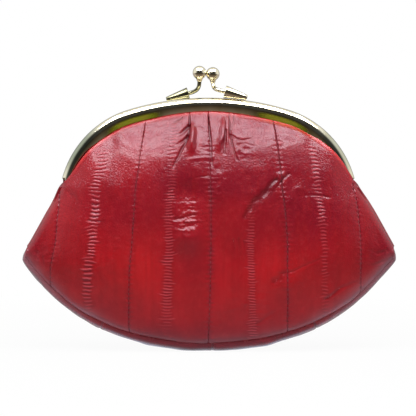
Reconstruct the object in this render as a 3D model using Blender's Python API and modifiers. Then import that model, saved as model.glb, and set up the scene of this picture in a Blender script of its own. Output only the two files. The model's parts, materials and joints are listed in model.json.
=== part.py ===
"""A clasp-top coin purse.

Two arched metal frame halves turn on a rivet at each end and lock with a pair of crossed ball knobs. They hold a bag
pieced from leather strips, with a gusset round its sides and bottom and a fabric lining. The purse stands on the flat
of its gusset, its front faces -Y, and the hinge axis runs along X.
"""

import math

import bmesh
import bpy
from mathutils import Matrix, Vector

MM = 0.001
FRONT = -1
REAR = 1
LEFT = -1
RIGHT = 1

# Clearances
SEAM_GAP = 0.3 * MM  # between pieces that are sewn or seated together
TURN_GAP = 0.25 * MM  # between a rivet or wire and its hole
OVERRUN = 0.5 * MM  # how far a cutter passes through what it cuts

# Frame arch, seen from the front: a wide top arc and two tight shoulders
HINGE_HEIGHT = 61.0 * MM
ARCH_RISE = 33.4 * MM  # from the hinge axis to the top of the arch
TOP_RADIUS = 102.0 * MM
TOP_ARC_HALF_WIDTH = 30.0 * MM
SHOULDER_RADIUS = 36.7 * MM
CHANNEL_END_RISE = 2.8 * MM  # the channel stops this far above the hinge axis

# Frame channel, in section
CHANNEL_WIDTH = 5.0 * MM
CHANNEL_TOP_DEPTH = 5.1 * MM
CHANNEL_END_DEPTH = 3.4 * MM
SHEET_THICKNESS = 0.6 * MM
CROWN_RADIUS = 1.9 * MM
SPLIT_GAP = 0.3 * MM  # between the two closed halves

# Hinge
EAR_RADIUS = 2.3 * MM
EAR_THICKNESS = 0.7 * MM
EAR_HEIGHT = 4.4 * MM
EAR_MARGIN = 0.3 * MM
RIVET_RADIUS = 0.9 * MM
RIVET_HEAD_RADIUS = 1.7 * MM
RIVET_HEAD_THICKNESS = 0.6 * MM

# Clasp knobs
BALL_DIAMETER = 5.1 * MM
BALL_GAP = 0.2 * MM
BALL_RISE = 9.5 * MM  # ball centres above the top of the arch
BALL_CROSSING = 0.7 * MM  # how far each ball leans past the split
CLASP_SHIFT = 0.8 * MM  # the pair sits this far left of centre
STEM_DIAMETER = 1.7 * MM
STEM_BEND = 3.6 * MM
SOCKET_DEPTH = 1.2 * MM
FERRULE_LENGTH = 8.6 * MM
FERRULE_WIDE_RADIUS = 2.35 * MM
FERRULE_NARROW_RADIUS = 0.95 * MM
FERRULE_BORE_DEPTH = 4.0 * MM
FERRULE_OFFSET = 11.0 * MM  # middle of each ferrule from the middle of the clasp

# Paper cord that packs the channel
CORD_RADIUS = 0.9 * MM

# Leather bag
LEATHER = 1.0 * MM
LINING = 0.5 * MM
PANEL_HALF_WIDTH = 68.8 * MM
CORNER_TOP = 38.9 * MM
CORNER_BOTTOM = 34.0 * MM
BASE_BAND = 3.4 * MM  # height of the gusset's bulge below the panels
INNER_STRIP_WIDTH = 23.7 * MM
COLUMN_WIDTH = 6.0 * MM
LEG_COLUMN = 1.8 * MM
END_STRIP_WIDTH = 11.5 * MM
STRIP_FAN = 7.0 * MM  # how much wider the strips spread at the bottom
TOP_EDGE_DEPTH = 4.25 * MM  # outer face of the panel where the channel grips it
CORNER_DEPTH = 6.5 * MM
BASE_DEPTH = 11.5 * MM
BELLY_DEPTH = 16.5 * MM
BELLY_ROUND_TOP = 36.0 * MM  # distance over which the belly swells from the frame
BELLY_ROUND_BASE = 30.0 * MM
SIDE_TOP_DROP = 2.7 * MM  # the side edges start this far below the hinge axis
SIDE_TOP_OUT = 1.6 * MM  # and this far outside the frame's ends
SIDE_DISH = 1.5 * MM  # how far the gusset dips in at the sides
BASE_CUT = 0.5 * MM  # the flat that the purse stands on
LINING_GAP = 0.45 * MM  # between the leather and the lining
LINING_INSET = 3.0 * MM
LINING_SIDE_DROP = 5.6 * MM  # how far the lining's side edges lie below the leather's
LINING_TOP_HALF_WIDTH = 46.0 * MM
LEG_SLACK = 1.0 * MM  # the lining hangs looser beside the frame's legs
LEG_SLACK_REACH = 12.0 * MM
SIDE_TUCK = 2.1 * MM  # how far the gusset's sides are tucked in behind the panels
GUSSET_SEAM = 39.5 * MM  # the outer gusset seams from the centre
GUSSET_MIDDLE_SEAM = 1.5 * MM

# Shape shares
BASE_CURVE_SHARE = 0.617  # how much of the bottom curve is parabolic
SWELL_POWER = 2.3
FAN_POWER = 1.2
TUCK_POWER = 8
LINING_TRIM_SHARE = 0.16
DOME_SHARE = 0.6
PROBE_SHARE = 0.002

# Facets
TOP_ARC_STEPS = 8
SHOULDER_STEPS = 9
CROWN_STEPS = 3
OUTLINE_STEPS = 48
PANEL_ROWS = 12
ROUND_SIDES = 20
GUSSET_STEPS = 8

LEATHER_RED = (0.46, 0.02, 0.03)
GOLD = (0.83, 0.69, 0.42)
LINING_RED = (0.25, 0.015, 0.03)
PAPER_TAN = (0.62, 0.5, 0.35)


def material(name, colour, roughness, metallic):
    made = bpy.data.materials.new(name)
    made.use_nodes = True
    shader = made.node_tree.nodes["Principled BSDF"]
    shader.inputs["Base Color"].default_value = (*colour, 1)
    shader.inputs["Roughness"].default_value = roughness
    shader.inputs["Metallic"].default_value = metallic
    return made


def clear_scene():
    for obj in list(bpy.data.objects):
        bpy.data.objects.remove(obj)


def collection(name):
    made = bpy.data.collections.new(name)
    bpy.context.scene.collection.children.link(made)
    return made


def add_object(name, data, group, look=None):
    obj = bpy.data.objects.new(name, data)
    group.objects.link(obj)
    if look:
        data.materials.append(look)
    return obj


def helper(name, data, group):
    """A cutter or a joined piece, which is not itself a part."""
    obj = add_object(name, data, group)
    obj.hide_render = True
    obj.display_type = "WIRE"
    return obj


def hang_on(obj, pivot):
    obj.parent = pivot
    obj.matrix_parent_inverse = pivot.matrix_world.inverted()


def cut(obj, cutter, operation="DIFFERENCE"):
    modifier = obj.modifiers.new(cutter.name, "BOOLEAN")
    modifier.object = cutter
    modifier.operation = operation
    modifier.solver = "EXACT"


def smooth(mesh):
    mesh.shade_smooth()
    mesh.set_sharp_from_angle(angle=math.radians(40))


# Frame arch


def arch_centres():
    """Centres of the top arc and the right shoulder in (x, z), and the angle where they join."""
    join = math.asin(TOP_ARC_HALF_WIDTH / TOP_RADIUS)
    top = Vector((0, HINGE_HEIGHT + ARCH_RISE - TOP_RADIUS))
    shoulder = top + (TOP_RADIUS - SHOULDER_RADIUS) * Vector((math.sin(join), math.cos(join)))
    return top, shoulder, join


def arch_point(angle, inset):
    """The point (x, z) of the arch where its outward normal leans by angle from the vertical."""
    top, shoulder, join = arch_centres()
    lean = abs(angle)
    centre, radius = (top, TOP_RADIUS) if lean <= join else (shoulder, SHOULDER_RADIUS)
    point = centre + (radius - inset) * Vector((math.sin(lean), math.cos(lean)))
    return Vector((math.copysign(point.x, angle), point.y))


def arch_end_angle():
    _, shoulder, _ = arch_centres()
    middle = SHOULDER_RADIUS - CHANNEL_END_DEPTH / 2
    return math.acos((HINGE_HEIGHT + CHANNEL_END_RISE - shoulder.y) / middle)


def arch_angles():
    """Angles of the channel's sections, left to right."""
    _, _, join = arch_centres()
    end = arch_end_angle()
    half = [join * i / TOP_ARC_STEPS for i in range(TOP_ARC_STEPS)]
    half += [join + (end - join) * i / SHOULDER_STEPS for i in range(SHOULDER_STEPS + 1)]
    return [-a for a in reversed(half[1:])] + half


def channel_depth(angle):
    """The channel is deepest at the top and tapers towards its ends."""
    share = abs(arch_point(angle, 0).x) / arch_point(arch_end_angle(), 0).x
    return CHANNEL_TOP_DEPTH + (CHANNEL_END_DEPTH - CHANNEL_TOP_DEPTH) * share**2


def mouth_outline():
    """The edge (x, z) of the channel's mouth on the right half, from the centre to the end."""
    end = arch_end_angle()
    angles = [end * i / OUTLINE_STEPS for i in range(OUTLINE_STEPS + 1)]
    return [arch_point(a, channel_depth(a)) for a in angles]


MOUTH = mouth_outline()
LEG_X = MOUTH[-1].x


def mouth_height(x):
    x = abs(x)
    for low, high in zip(MOUTH, MOUTH[1:]):
        if x <= high.x:
            return low.y + (high.y - low.y) * (x - low.x) / (high.x - low.x)
    return MOUTH[-1].y


def channel_section(depth):
    """The channel's wall as points (across, inset), from the split face round to the outer lip and back inside."""
    wide, wall, crown = CHANNEL_WIDTH, SHEET_THICKNESS, CROWN_RADIUS
    turns = [math.pi / 2 * i / CROWN_STEPS for i in range(CROWN_STEPS + 1)]
    outer = [(wide - crown + crown * math.sin(a), crown - crown * math.cos(a)) for a in turns]
    hollow = crown - wall
    inner = [(wide - crown + hollow * math.sin(a), crown - hollow * math.cos(a)) for a in reversed(turns)]
    return [(0, depth), (0, 0), *outer, (wide, depth), (wide - wall, depth), *inner, (wall, wall), (wall, depth)]


def channel_mesh(side):
    """A loft of channel sections of changing depth along the arch."""
    bm = bmesh.new()
    rings = []
    for angle in arch_angles():
        ring = []
        for across, inset in channel_section(channel_depth(angle)):
            point = arch_point(angle, inset)
            ring.append(bm.verts.new((point.x, side * (SPLIT_GAP / 2 + across), point.y)))
        rings.append(ring)
    count = len(rings[0])
    for ring, following in zip(rings, rings[1:]):
        for i in range(count):
            j = (i + 1) % count
            bm.faces.new((ring[i], ring[j], following[j], following[i]))
    bm.faces.new(rings[0])
    bm.faces.new(list(reversed(rings[-1])))
    bmesh.ops.recalc_face_normals(bm, faces=bm.faces)
    mesh = bpy.data.meshes.new("channel")
    bm.to_mesh(mesh)
    bm.free()
    return mesh


# Hinge


def ear_layer(side):
    """Inner and outer |x| of an ear. The front half's ears lie outside the rear half's."""
    outer = arch_point(arch_end_angle(), 0).x + SHEET_THICKNESS / 3
    if side == REAR:
        outer -= EAR_THICKNESS + SEAM_GAP
    return outer - EAR_THICKNESS, outer


def ear_outline(side):
    """The ear in (y, z) about the hinge axis: a round end whose neck leans over to the channel."""
    near = SPLIT_GAP / 2 + EAR_MARGIN
    far = SPLIT_GAP / 2 + CHANNEL_WIDTH - EAR_MARGIN
    start = math.acos(near / EAR_RADIUS)
    sweep = 2 * math.pi - start
    arc = [start + sweep * i / ROUND_SIDES for i in range(ROUND_SIDES)]
    points = [(EAR_RADIUS * math.cos(a), EAR_RADIUS * math.sin(a)) for a in arc]
    neck = [(far, CHANNEL_END_RISE), (far, EAR_HEIGHT), (near, EAR_HEIGHT)]
    return [(side * y, z) for y, z in points + neck]


def circle_outline(radius):
    turns = [2 * math.pi * i / ROUND_SIDES for i in range(ROUND_SIDES)]
    return [(radius * math.cos(a), radius * math.sin(a)) for a in turns]


def flat_plate(name, outlines, thickness):
    """A plate with holes, as a mesh: the first outline is its edge and the others are its holes."""
    curve = bpy.data.curves.new(name, "CURVE")
    curve.dimensions = "2D"
    curve.fill_mode = "BOTH"
    curve.extrude = thickness / 2
    for outline in outlines:
        spline = curve.splines.new("POLY")
        spline.points.add(len(outline) - 1)
        for point, (x, y) in zip(spline.points, outline):
            point.co = (x, y, 0, 1)
        spline.use_cyclic_u = True
    guide = bpy.data.objects.new(name, curve)
    bpy.context.scene.collection.objects.link(guide)
    bpy.context.view_layer.update()
    mesh = bpy.data.meshes.new_from_object(guide.evaluated_get(bpy.context.evaluated_depsgraph_get()))
    bpy.data.objects.remove(guide)
    bm = bmesh.new()
    bm.from_mesh(mesh)
    bmesh.ops.remove_doubles(bm, verts=bm.verts, dist=SEAM_GAP / 100)
    bmesh.ops.recalc_face_normals(bm, faces=bm.faces)
    bm.to_mesh(mesh)
    bm.free()
    return mesh


def ear(side, end, cutters):
    low, high = ear_layer(side)
    name = f"ear_{'front' if side == FRONT else 'rear'}_{'left' if end == LEFT else 'right'}"
    mesh = flat_plate(name, [ear_outline(side), circle_outline(RIVET_RADIUS + TURN_GAP)], EAR_THICKNESS)
    turn = Matrix(((0, 0, 1), (1, 0, 0), (0, 1, 0)))
    mesh.transform(turn.to_4x4())
    obj = helper(name, mesh, cutters)
    obj.location = (end * (low + high) / 2, 0, HINGE_HEIGHT)
    return obj


def turned(name, profile, group, look=None):
    """A solid of revolution about its own Z, from points (radius, height) that run from top to bottom."""
    mesh = bpy.data.meshes.new(name)
    edges = [(i, i + 1) for i in range(len(profile) - 1)]
    mesh.from_pydata([(radius, 0, height) for radius, height in profile], edges, [])
    obj = add_object(name, mesh, group, look)
    screw = obj.modifiers.new("turn", "SCREW")
    screw.steps = ROUND_SIDES
    screw.render_steps = ROUND_SIDES
    screw.use_merge_vertices = True
    screw.merge_threshold = SEAM_GAP / 100
    return obj


def rivet(name, end, group, look):
    """A rivet through both ears, with a low head inside and a domed one outside."""
    inner = ear_layer(REAR)[0] - SEAM_GAP
    outer = ear_layer(FRONT)[1] + SEAM_GAP
    head, shank, thick = RIVET_HEAD_RADIUS, RIVET_RADIUS, RIVET_HEAD_THICKNESS
    profile = [
        (0, outer + thick),
        (head * DOME_SHARE, outer + thick),
        (head, outer + thick / 3),
        (head, outer),
        (shank, outer),
        (shank, inner),
        (head, inner),
        (head, inner - thick),
        (0, inner - thick),
    ]
    obj = turned(name, profile, group, look)
    obj.location = (0, 0, HINGE_HEIGHT)
    obj.rotation_euler = (0, end * math.pi / 2, 0)
    return obj


def frame_half(name, side, group, cutters, look, pivot):
    mesh = channel_mesh(side)
    mesh.name = name
    obj = add_object(name, mesh, group, look)
    hang_on(obj, pivot)
    for end in (LEFT, RIGHT):
        cut(obj, ear(side, end, cutters), "UNION")
    return obj


# Clasp knobs


def knob_layout(side, end):
    """The ferrule's wide and narrow ends, its axis, and the ball's centre, for the knob on one frame half.

    The ferrule lies on the arch along its lower edge, so its axis leans by its own taper from the arch's tangent.
    """
    middle_x = end * FERRULE_OFFSET - CLASP_SHIFT
    lean = math.asin(middle_x / TOP_RADIUS)
    seat = arch_point(lean, 0)
    normal = Vector((math.sin(lean), 0, math.cos(lean)))
    inward = -end * Vector((math.cos(lean), 0, -math.sin(lean)))
    taper = math.atan((FERRULE_WIDE_RADIUS - FERRULE_NARROW_RADIUS) / FERRULE_LENGTH)
    axis = inward * math.cos(taper) + normal * math.sin(taper)
    lift = (FERRULE_WIDE_RADIUS + FERRULE_NARROW_RADIUS) / 2 / math.cos(taper) + SEAM_GAP
    y = side * (SPLIT_GAP + CHANNEL_WIDTH) / 2
    middle = Vector((seat.x, y, seat.y)) + normal * lift
    wide = middle + axis * FERRULE_LENGTH / 2
    narrow = middle - axis * FERRULE_LENGTH / 2
    ball_x = end * (BALL_DIAMETER + BALL_GAP) / 2 - CLASP_SHIFT
    ball = Vector((ball_x, -side * BALL_CROSSING, HINGE_HEIGHT + ARCH_RISE + BALL_RISE))
    return wide, narrow, axis, ball


def primitive(name, group, look, add, **sizes):
    """A bmesh primitive as an object."""
    bm = bmesh.new()
    add(bm, **sizes)
    mesh = bpy.data.meshes.new(name)
    bm.to_mesh(mesh)
    bm.free()
    return add_object(name, mesh, group, look)


def bore(name, mouth, direction, depth, cutters):
    """A cutter for a wire's hole: it starts outside the mouth and runs along direction to the depth."""
    length = depth + OVERRUN
    radius = STEM_DIAMETER / 2 + TURN_GAP
    sizes = {"cap_ends": True, "segments": ROUND_SIDES, "radius1": radius, "radius2": radius, "depth": length}
    obj = primitive(name, cutters, None, bmesh.ops.create_cone, **sizes)
    obj.hide_render = True
    obj.display_type = "WIRE"
    obj.location = mouth + direction * (length / 2 - OVERRUN)
    obj.rotation_euler = direction.to_track_quat("Z", "Y").to_euler()
    return obj


def ferrule(name, side, end, group, cutters, look, pivot):
    wide, narrow, axis, _ = knob_layout(side, end)
    sizes = {"cap_ends": True, "segments": ROUND_SIDES, "depth": FERRULE_LENGTH}
    radii = {"radius1": FERRULE_NARROW_RADIUS, "radius2": FERRULE_WIDE_RADIUS}
    obj = primitive(name, group, look, bmesh.ops.create_cone, **sizes, **radii)
    smooth(obj.data)
    obj.location = (wide + narrow) / 2
    obj.rotation_euler = axis.to_track_quat("Z", "Y").to_euler()
    bpy.context.view_layer.update()
    hang_on(obj, pivot)
    cut(obj, bore(name + "_bore", wide, -axis, FERRULE_BORE_DEPTH, cutters))
    return obj


def ball_knob(name, side, end, group, cutters, look, pivot):
    *_, centre = knob_layout(side, end)
    radius = BALL_DIAMETER / 2
    rings = {"u_segments": ROUND_SIDES, "v_segments": ROUND_SIDES // 2, "radius": radius}
    obj = primitive(name, group, look, bmesh.ops.create_uvsphere, **rings)
    smooth(obj.data)
    obj.location = centre
    bpy.context.view_layer.update()
    hang_on(obj, pivot)
    foot = centre - Vector((0, 0, radius))
    cut(obj, bore(name + "_bore", foot, Vector((0, 0, 1)), SOCKET_DEPTH, cutters))
    return obj


def bezier(start, start_pull, end_pull, end, share):
    back = 1 - share
    parts = (start * back**3, start_pull * 3 * back**2 * share, end_pull * 3 * back * share**2, end * share**3)
    return sum(parts, Vector((0, 0, 0)))


def wire(name, points, diameter, group, look):
    curve = bpy.data.curves.new(name, "CURVE")
    curve.dimensions = "3D"
    curve.bevel_depth = diameter / 2
    curve.bevel_resolution = 2
    curve.use_fill_caps = True
    spline = curve.splines.new("POLY")
    spline.points.add(len(points) - 1)
    for point, place in zip(spline.points, points):
        point.co = (*place, 1)
    return add_object(name, curve, group, look)


def stem(name, side, end, group, look, pivot):
    """The wire from inside the ferrule, round its bend and up into the ball."""
    wide, _, axis, ball = knob_layout(side, end)
    rooted = wide - axis * (FERRULE_BORE_DEPTH - SEAM_GAP)
    foot = ball - Vector((0, 0, BALL_DIAMETER / 2))
    top = foot + Vector((0, 0, SOCKET_DEPTH - SEAM_GAP))
    steps = 10
    leave = wide + axis * SEAM_GAP
    pulls = (leave + axis * STEM_BEND, foot - Vector((0, 0, STEM_BEND)))
    bend = [bezier(leave, *pulls, foot - Vector((0, 0, SEAM_GAP)), i / steps) for i in range(steps + 1)]
    obj = wire(name, [rooted, *bend, top], STEM_DIAMETER, group, look)
    hang_on(obj, pivot)
    return obj


def paper_cord(name, side, group, look, pivot):
    """The cord pressed into the channel behind the leather's edge."""
    inset = SHEET_THICKNESS + SEAM_GAP + CORD_RADIUS
    y = side * (SPLIT_GAP / 2 + inset)
    points = []
    for angle in arch_angles()[1:-1]:
        point = arch_point(angle, inset)
        points.append((point.x, y, point.y))
    obj = wire(name, points, 2 * CORD_RADIUS, group, look)
    obj.data.bevel_resolution = 1
    hang_on(obj, pivot)
    return obj


# Outlines of the bag, seen from the front


def side_top():
    """The upper end of the right side edge, just below and outside the hinge."""
    _, outer = ear_layer(FRONT)
    return Vector((outer + SIDE_TOP_OUT, HINGE_HEIGHT - SIDE_TOP_DROP))


SIDE_TOP = side_top()


def top_edge(x):
    """Height of a panel's upper edge: under the channel's mouth, under the ears, then down the side.

    Under the mouth it stays inside the circle that the mouth sweeps about the hinge axis.
    """
    x = abs(x)
    if x < LEG_X:
        reach = mouth_height(x) - SEAM_GAP - HINGE_HEIGHT
        rise = math.sqrt(max(reach**2 - TOP_EDGE_DEPTH**2, 0))
        return HINGE_HEIGHT + rise if rise > 0 else SIDE_TOP.y
    if x <= SIDE_TOP.x:
        return SIDE_TOP.y
    return SIDE_TOP.y + (CORNER_TOP - SIDE_TOP.y) * (x - SIDE_TOP.x) / (PANEL_HALF_WIDTH - SIDE_TOP.x)


def base_edge(x):
    """Height of the seam between a panel and the gusset along the bottom."""
    share = (x / PANEL_HALF_WIDTH) ** 2
    curve = BASE_CURVE_SHARE * share + (1 - BASE_CURVE_SHARE) * share**2
    seam = BASE_BAND - BASE_CUT
    return seam + (CORNER_BOTTOM - seam) * curve


def sample(start, end, count):
    return [start + (end - start) * i / count for i in range(count + 1)]


def upper_boundary():
    xs = sample(0, LEG_X - SEAM_GAP, OUTLINE_STEPS) + [LEG_X + SEAM_GAP, SIDE_TOP.x, PANEL_HALF_WIDTH]
    return [Vector((x, top_edge(x))) for x in xs]


def lower_boundary():
    return [Vector((x, base_edge(x))) for x in sample(0, PANEL_HALF_WIDTH, OUTLINE_STEPS)]


UPPER = upper_boundary()
LOWER = lower_boundary()


def distance_to(point, line):
    """Shortest distance from a point to a line of points."""
    nearest = None
    for a, b in zip(line, line[1:]):
        along = b - a
        share = (point - a).dot(along) / along.length_squared
        gap = (point - a - along * min(max(share, 0), 1)).length
        nearest = gap if nearest is None else min(nearest, gap)
    return nearest


def swell(distance, reach):
    return 1 - (1 - min(distance / reach, 1)) ** SWELL_POWER


def edge_depth(z):
    """Depth of a panel's upper and side edge: the channel's, widening down the side to the corner."""
    drop = min(max((SIDE_TOP.y - z) / (SIDE_TOP.y - CORNER_TOP), 0), 1)
    return TOP_EDGE_DEPTH + (CORNER_DEPTH - TOP_EDGE_DEPTH) * drop


def base_depth(x):
    """Depth of the bottom seam, widest at the centre."""
    return BASE_DEPTH + (CORNER_DEPTH - BASE_DEPTH) * (x / PANEL_HALF_WIDTH) ** 2


def belly(x, z):
    """How far the outer face of a panel stands from the split plane."""
    point = Vector((abs(x), z))
    up = swell(distance_to(point, UPPER), BELLY_ROUND_TOP)
    down = swell(distance_to(point, LOWER), BELLY_ROUND_BASE)
    edge = edge_depth(z)
    return edge + (BELLY_DEPTH - edge) * up - (BELLY_DEPTH - base_depth(x)) * (1 - down) * up


# Panels


def fanned(x_top):
    """Where a line that starts at x_top on the upper edge meets the bottom seam."""
    return x_top + STRIP_FAN * math.sin(math.pi * x_top / PANEL_HALF_WIDTH)


def panel_point(side, x_top, share):
    """A point of a panel's outer face, at a share of the way up the line through x_top."""
    x_base = fanned(x_top)
    x = x_base + (x_top - x_base) * share**FAN_POWER
    low = base_edge(x_base) + SEAM_GAP / 2
    z = low + (top_edge(x_top) - low) * share
    return Vector((x, side * belly(x, z), z))


def panel_normal(side, x, z):
    """Outward normal of a panel's outer face."""
    step = SEAM_GAP / 2
    slope_x = (belly(x + step, z) - belly(x - step, z)) / (2 * step)
    slope_z = (belly(x, z + step) - belly(x, z - step)) / (2 * step)
    return Vector((-slope_x, side, -slope_z)).normalized()


def lining_point(side, x_top, share):
    """The same for a lining, behind the leather, with its edges set in from the bottom and side seams."""
    height = top_edge(x_top) - base_edge(fanned(x_top))
    drop = SEAM_GAP if abs(x_top) < LINING_TOP_HALF_WIDTH else LINING_SIDE_DROP
    low = LINING_INSET / height
    point = panel_point(side, x_top, low + (1 - drop / height - low) * share)
    share_slack = max(1 - abs(abs(x_top) - LINING_TOP_HALF_WIDTH) / LEG_SLACK_REACH, 0)
    gap = LINING_GAP + LEG_SLACK * share_slack
    return point - panel_normal(side, point.x, point.z) * (LEATHER + gap)


def shifted(place, distance):
    """place moved in from its surface by distance, along the surface's own normal."""

    def moved(u, v):
        across = place(min(u + PROBE_SHARE, 1), v) - place(max(u - PROBE_SHARE, 0), v)
        up = place(u, min(v + PROBE_SHARE, 1)) - place(u, max(v - PROBE_SHARE, 0))
        return place(u, v) - across.cross(up).normalized() * distance

    return moved


def sheet(name, columns, rows, place, thickness, group, look):
    """A grid whose points are set by place(u, v), with u and v from 0 to 1, thickened inwards."""
    bm = bmesh.new()
    bmesh.ops.create_grid(bm, x_segments=columns, y_segments=rows, size=0.5)
    for vertex in bm.verts:
        vertex.co = place(vertex.co.x + 0.5, vertex.co.y + 0.5)
    mesh = bpy.data.meshes.new(name)
    bm.to_mesh(mesh)
    bm.free()
    obj = add_object(name, mesh, group, look)
    solidify = obj.modifiers.new("thickness", "SOLIDIFY")
    solidify.thickness = thickness
    solidify.offset = -1
    return obj


def columns_between(left, right):
    """Upper x of a strip's columns, with closer ones where the upper edge drops beside the frame's leg."""
    count = max(3, round((right - left) / COLUMN_WIDTH))
    near = [LEG_X + offset for offset in (-2 * LEG_COLUMN, -LEG_COLUMN, -SEAM_GAP, SEAM_GAP)]
    near += [-x for x in near]
    clear = [x for x in sample(left, right, count)[1:-1] if all(abs(x - leg) > LEG_COLUMN for leg in near)]
    return sorted([left, right] + clear + [x for x in near if left < x < right])


def columned(xs, place):
    """place(x, v) as place(u, v), with u counting evenly through the columns xs."""

    def counted(u, v):
        spot = u * (len(xs) - 1)
        low = min(int(spot), len(xs) - 2)
        return place(xs[low] + (xs[low + 1] - xs[low]) * (spot - low), v)

    return counted


def strip_seams():
    """Upper x of the seams and ends, left to right."""
    far = PANEL_HALF_WIDTH - END_STRIP_WIDTH
    return [-PANEL_HALF_WIDTH, -far, -INNER_STRIP_WIDTH, 0, INNER_STRIP_WIDTH, far, PANEL_HALF_WIDTH]


STRIP_NAMES = ("left_end", "left_outer", "left_inner", "right_inner", "right_outer", "right_end")


def leather_strips(side, group, look):
    """Six strips of one panel, sewn edge to edge. The rear panel's grid runs the other way, to face out."""
    seams = strip_seams()
    for name, left, right in zip(STRIP_NAMES, seams, seams[1:]):
        left_gap = SEAM_GAP / 2 if left > -PANEL_HALF_WIDTH else 0
        right_gap = SEAM_GAP / 2 if right < PANEL_HALF_WIDTH else 0
        xs = columns_between(left + left_gap, right - right_gap)
        if side == REAR:
            xs.reverse()
        place = columned(xs, lambda x, v: panel_point(side, x, v))
        face = "front" if side == FRONT else "rear"
        sheet(f"{face}_strip_{name}", len(xs) - 1, PANEL_ROWS, place, LEATHER, group, look)


def panel_lining(name, side, group, look):
    """The lining behind a panel. Its columns follow those of the strips, so that the facets match."""
    edge = PANEL_HALF_WIDTH - LINING_INSET
    seams = strip_seams()
    xs = [-edge]
    for left, right in zip(seams, seams[1:]):
        inner = columns_between(left, right)[1:]
        xs += [x for x in inner if abs(x) < edge]
    xs.append(edge)
    if side == REAR:
        xs.reverse()
    place = columned(xs, lambda x, v: lining_point(side, x, v))
    sheet(name, len(xs) - 1, PANEL_ROWS, place, LINING, group, look)


# Gusset


def seam_path():
    """Stations of the gusset along the right half, from the bottom centre round the corner to the hinge."""
    path = [Vector((x, base_edge(x))) for x in sample(0, PANEL_HALF_WIDTH, 16)]
    top = SIDE_TOP - Vector((0, SEAM_GAP))
    corner = Vector((PANEL_HALF_WIDTH, CORNER_TOP))
    return path + [corner + (top - corner) * i / 5 for i in range(6)]


def outward_normals(path):
    normals = []
    for i in range(len(path)):
        along = path[min(i + 1, len(path) - 1)] - path[max(i - 1, 0)]
        normals.append(Vector((along.y, -along.x)).normalized())
    normals[0] = Vector((0, -1))
    return normals


def gusset_section(point):
    """Half width and bulge of the gusset at a station of the seam path, and how much it is a side.

    Along the bottom it bulges out in a half oval. At the sides it is tucked in behind the panels' edges and dips.
    """
    if point.y > CORNER_BOTTOM:
        climb = min((point.y - CORNER_BOTTOM) / (CORNER_TOP - CORNER_BOTTOM), 1)
        return edge_depth(point.y) - SIDE_TUCK, BASE_BAND / 2 - (SIDE_DISH + BASE_BAND / 2) * climb, 1
    near = (point.x / PANEL_HALF_WIDTH) ** TUCK_POWER
    return base_depth(point.x) - SIDE_TUCK * near, BASE_BAND * (1 - near / 2), near


def gusset_place(path, normals):
    """place(u, v) on the gusset: u along the path and v across it, from the rear seam to the front."""

    def place(u, v):
        spot = u * (len(path) - 1)
        low = min(int(spot), len(path) - 2)
        share = spot - low
        point = path[low].lerp(path[low + 1], share)
        normal = normals[low].lerp(normals[low + 1], share).normalized()
        wide, bulge, sided = gusset_section(Vector((abs(point.x), point.y)))
        turn = math.pi * v
        across = math.cos(turn) * (1 - sided) + (1 - 2 * v) * sided
        x, z = point + normal * (bulge * math.sin(turn) + SEAM_GAP / 2)
        return Vector((x, wide * across, max(z, 0)))

    return place


def whole_path():
    """The seam path from the left hinge to the right one, with its outward normals."""
    right = seam_path()
    normals = outward_normals(right)
    mirror = Vector((-1, 1))
    left = [p * mirror for p in reversed(right[1:])]
    left_normals = [n * mirror for n in reversed(normals[1:])]
    return left + right, left_normals + normals


def station_at(x):
    """A station of the path on the bottom, with its outward normal."""
    step = SEAM_GAP
    along = Vector((2 * step, base_edge(x + step) - base_edge(x - step)))
    return Vector((x, base_edge(x))), Vector((along.y, -along.x)).normalized()


def cut_path(path, normals, start, end):
    """The stations between two seams, given as x along the bottom, or None for the path's own end."""
    low = start if start is not None else -PANEL_HALF_WIDTH - OVERRUN
    high = end if end is not None else PANEL_HALF_WIDTH + OVERRUN
    piece = [(point, normal) for point, normal in zip(path, normals) if low < point.x < high]
    if start is not None:
        piece.insert(0, station_at(start))
    if end is not None:
        piece.append(station_at(end))
    return [point for point, _ in piece], [normal for _, normal in piece]


def gusset_pieces(group, look):
    path, normals = whole_path()
    half = SEAM_GAP / 2
    seams = [None, -GUSSET_SEAM, GUSSET_MIDDLE_SEAM, GUSSET_SEAM, None]
    names = ("left_side", "left_base", "right_base", "right_side")
    for name, start, end in zip(names, seams, seams[1:]):
        start = None if start is None else start + half
        end = None if end is None else end - half
        piece, leans = cut_path(path, normals, start, end)
        sheet(f"gusset_{name}", len(piece) - 1, GUSSET_STEPS, gusset_place(piece, leans), LEATHER, group, look)


def gusset_lining(name, group, look):
    """The lining inside the gusset, a little narrower than it and short of its ends."""
    path, normals = whole_path()
    moved = shifted(gusset_place(path[1:-1], normals[1:-1]), LEATHER + LINING_GAP)
    kept = 1 - 2 * LINING_TRIM_SHARE
    sheet(name, len(path) - 3, GUSSET_STEPS, lambda u, v: moved(u, LINING_TRIM_SHARE + kept * v), LINING, group, look)


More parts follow.
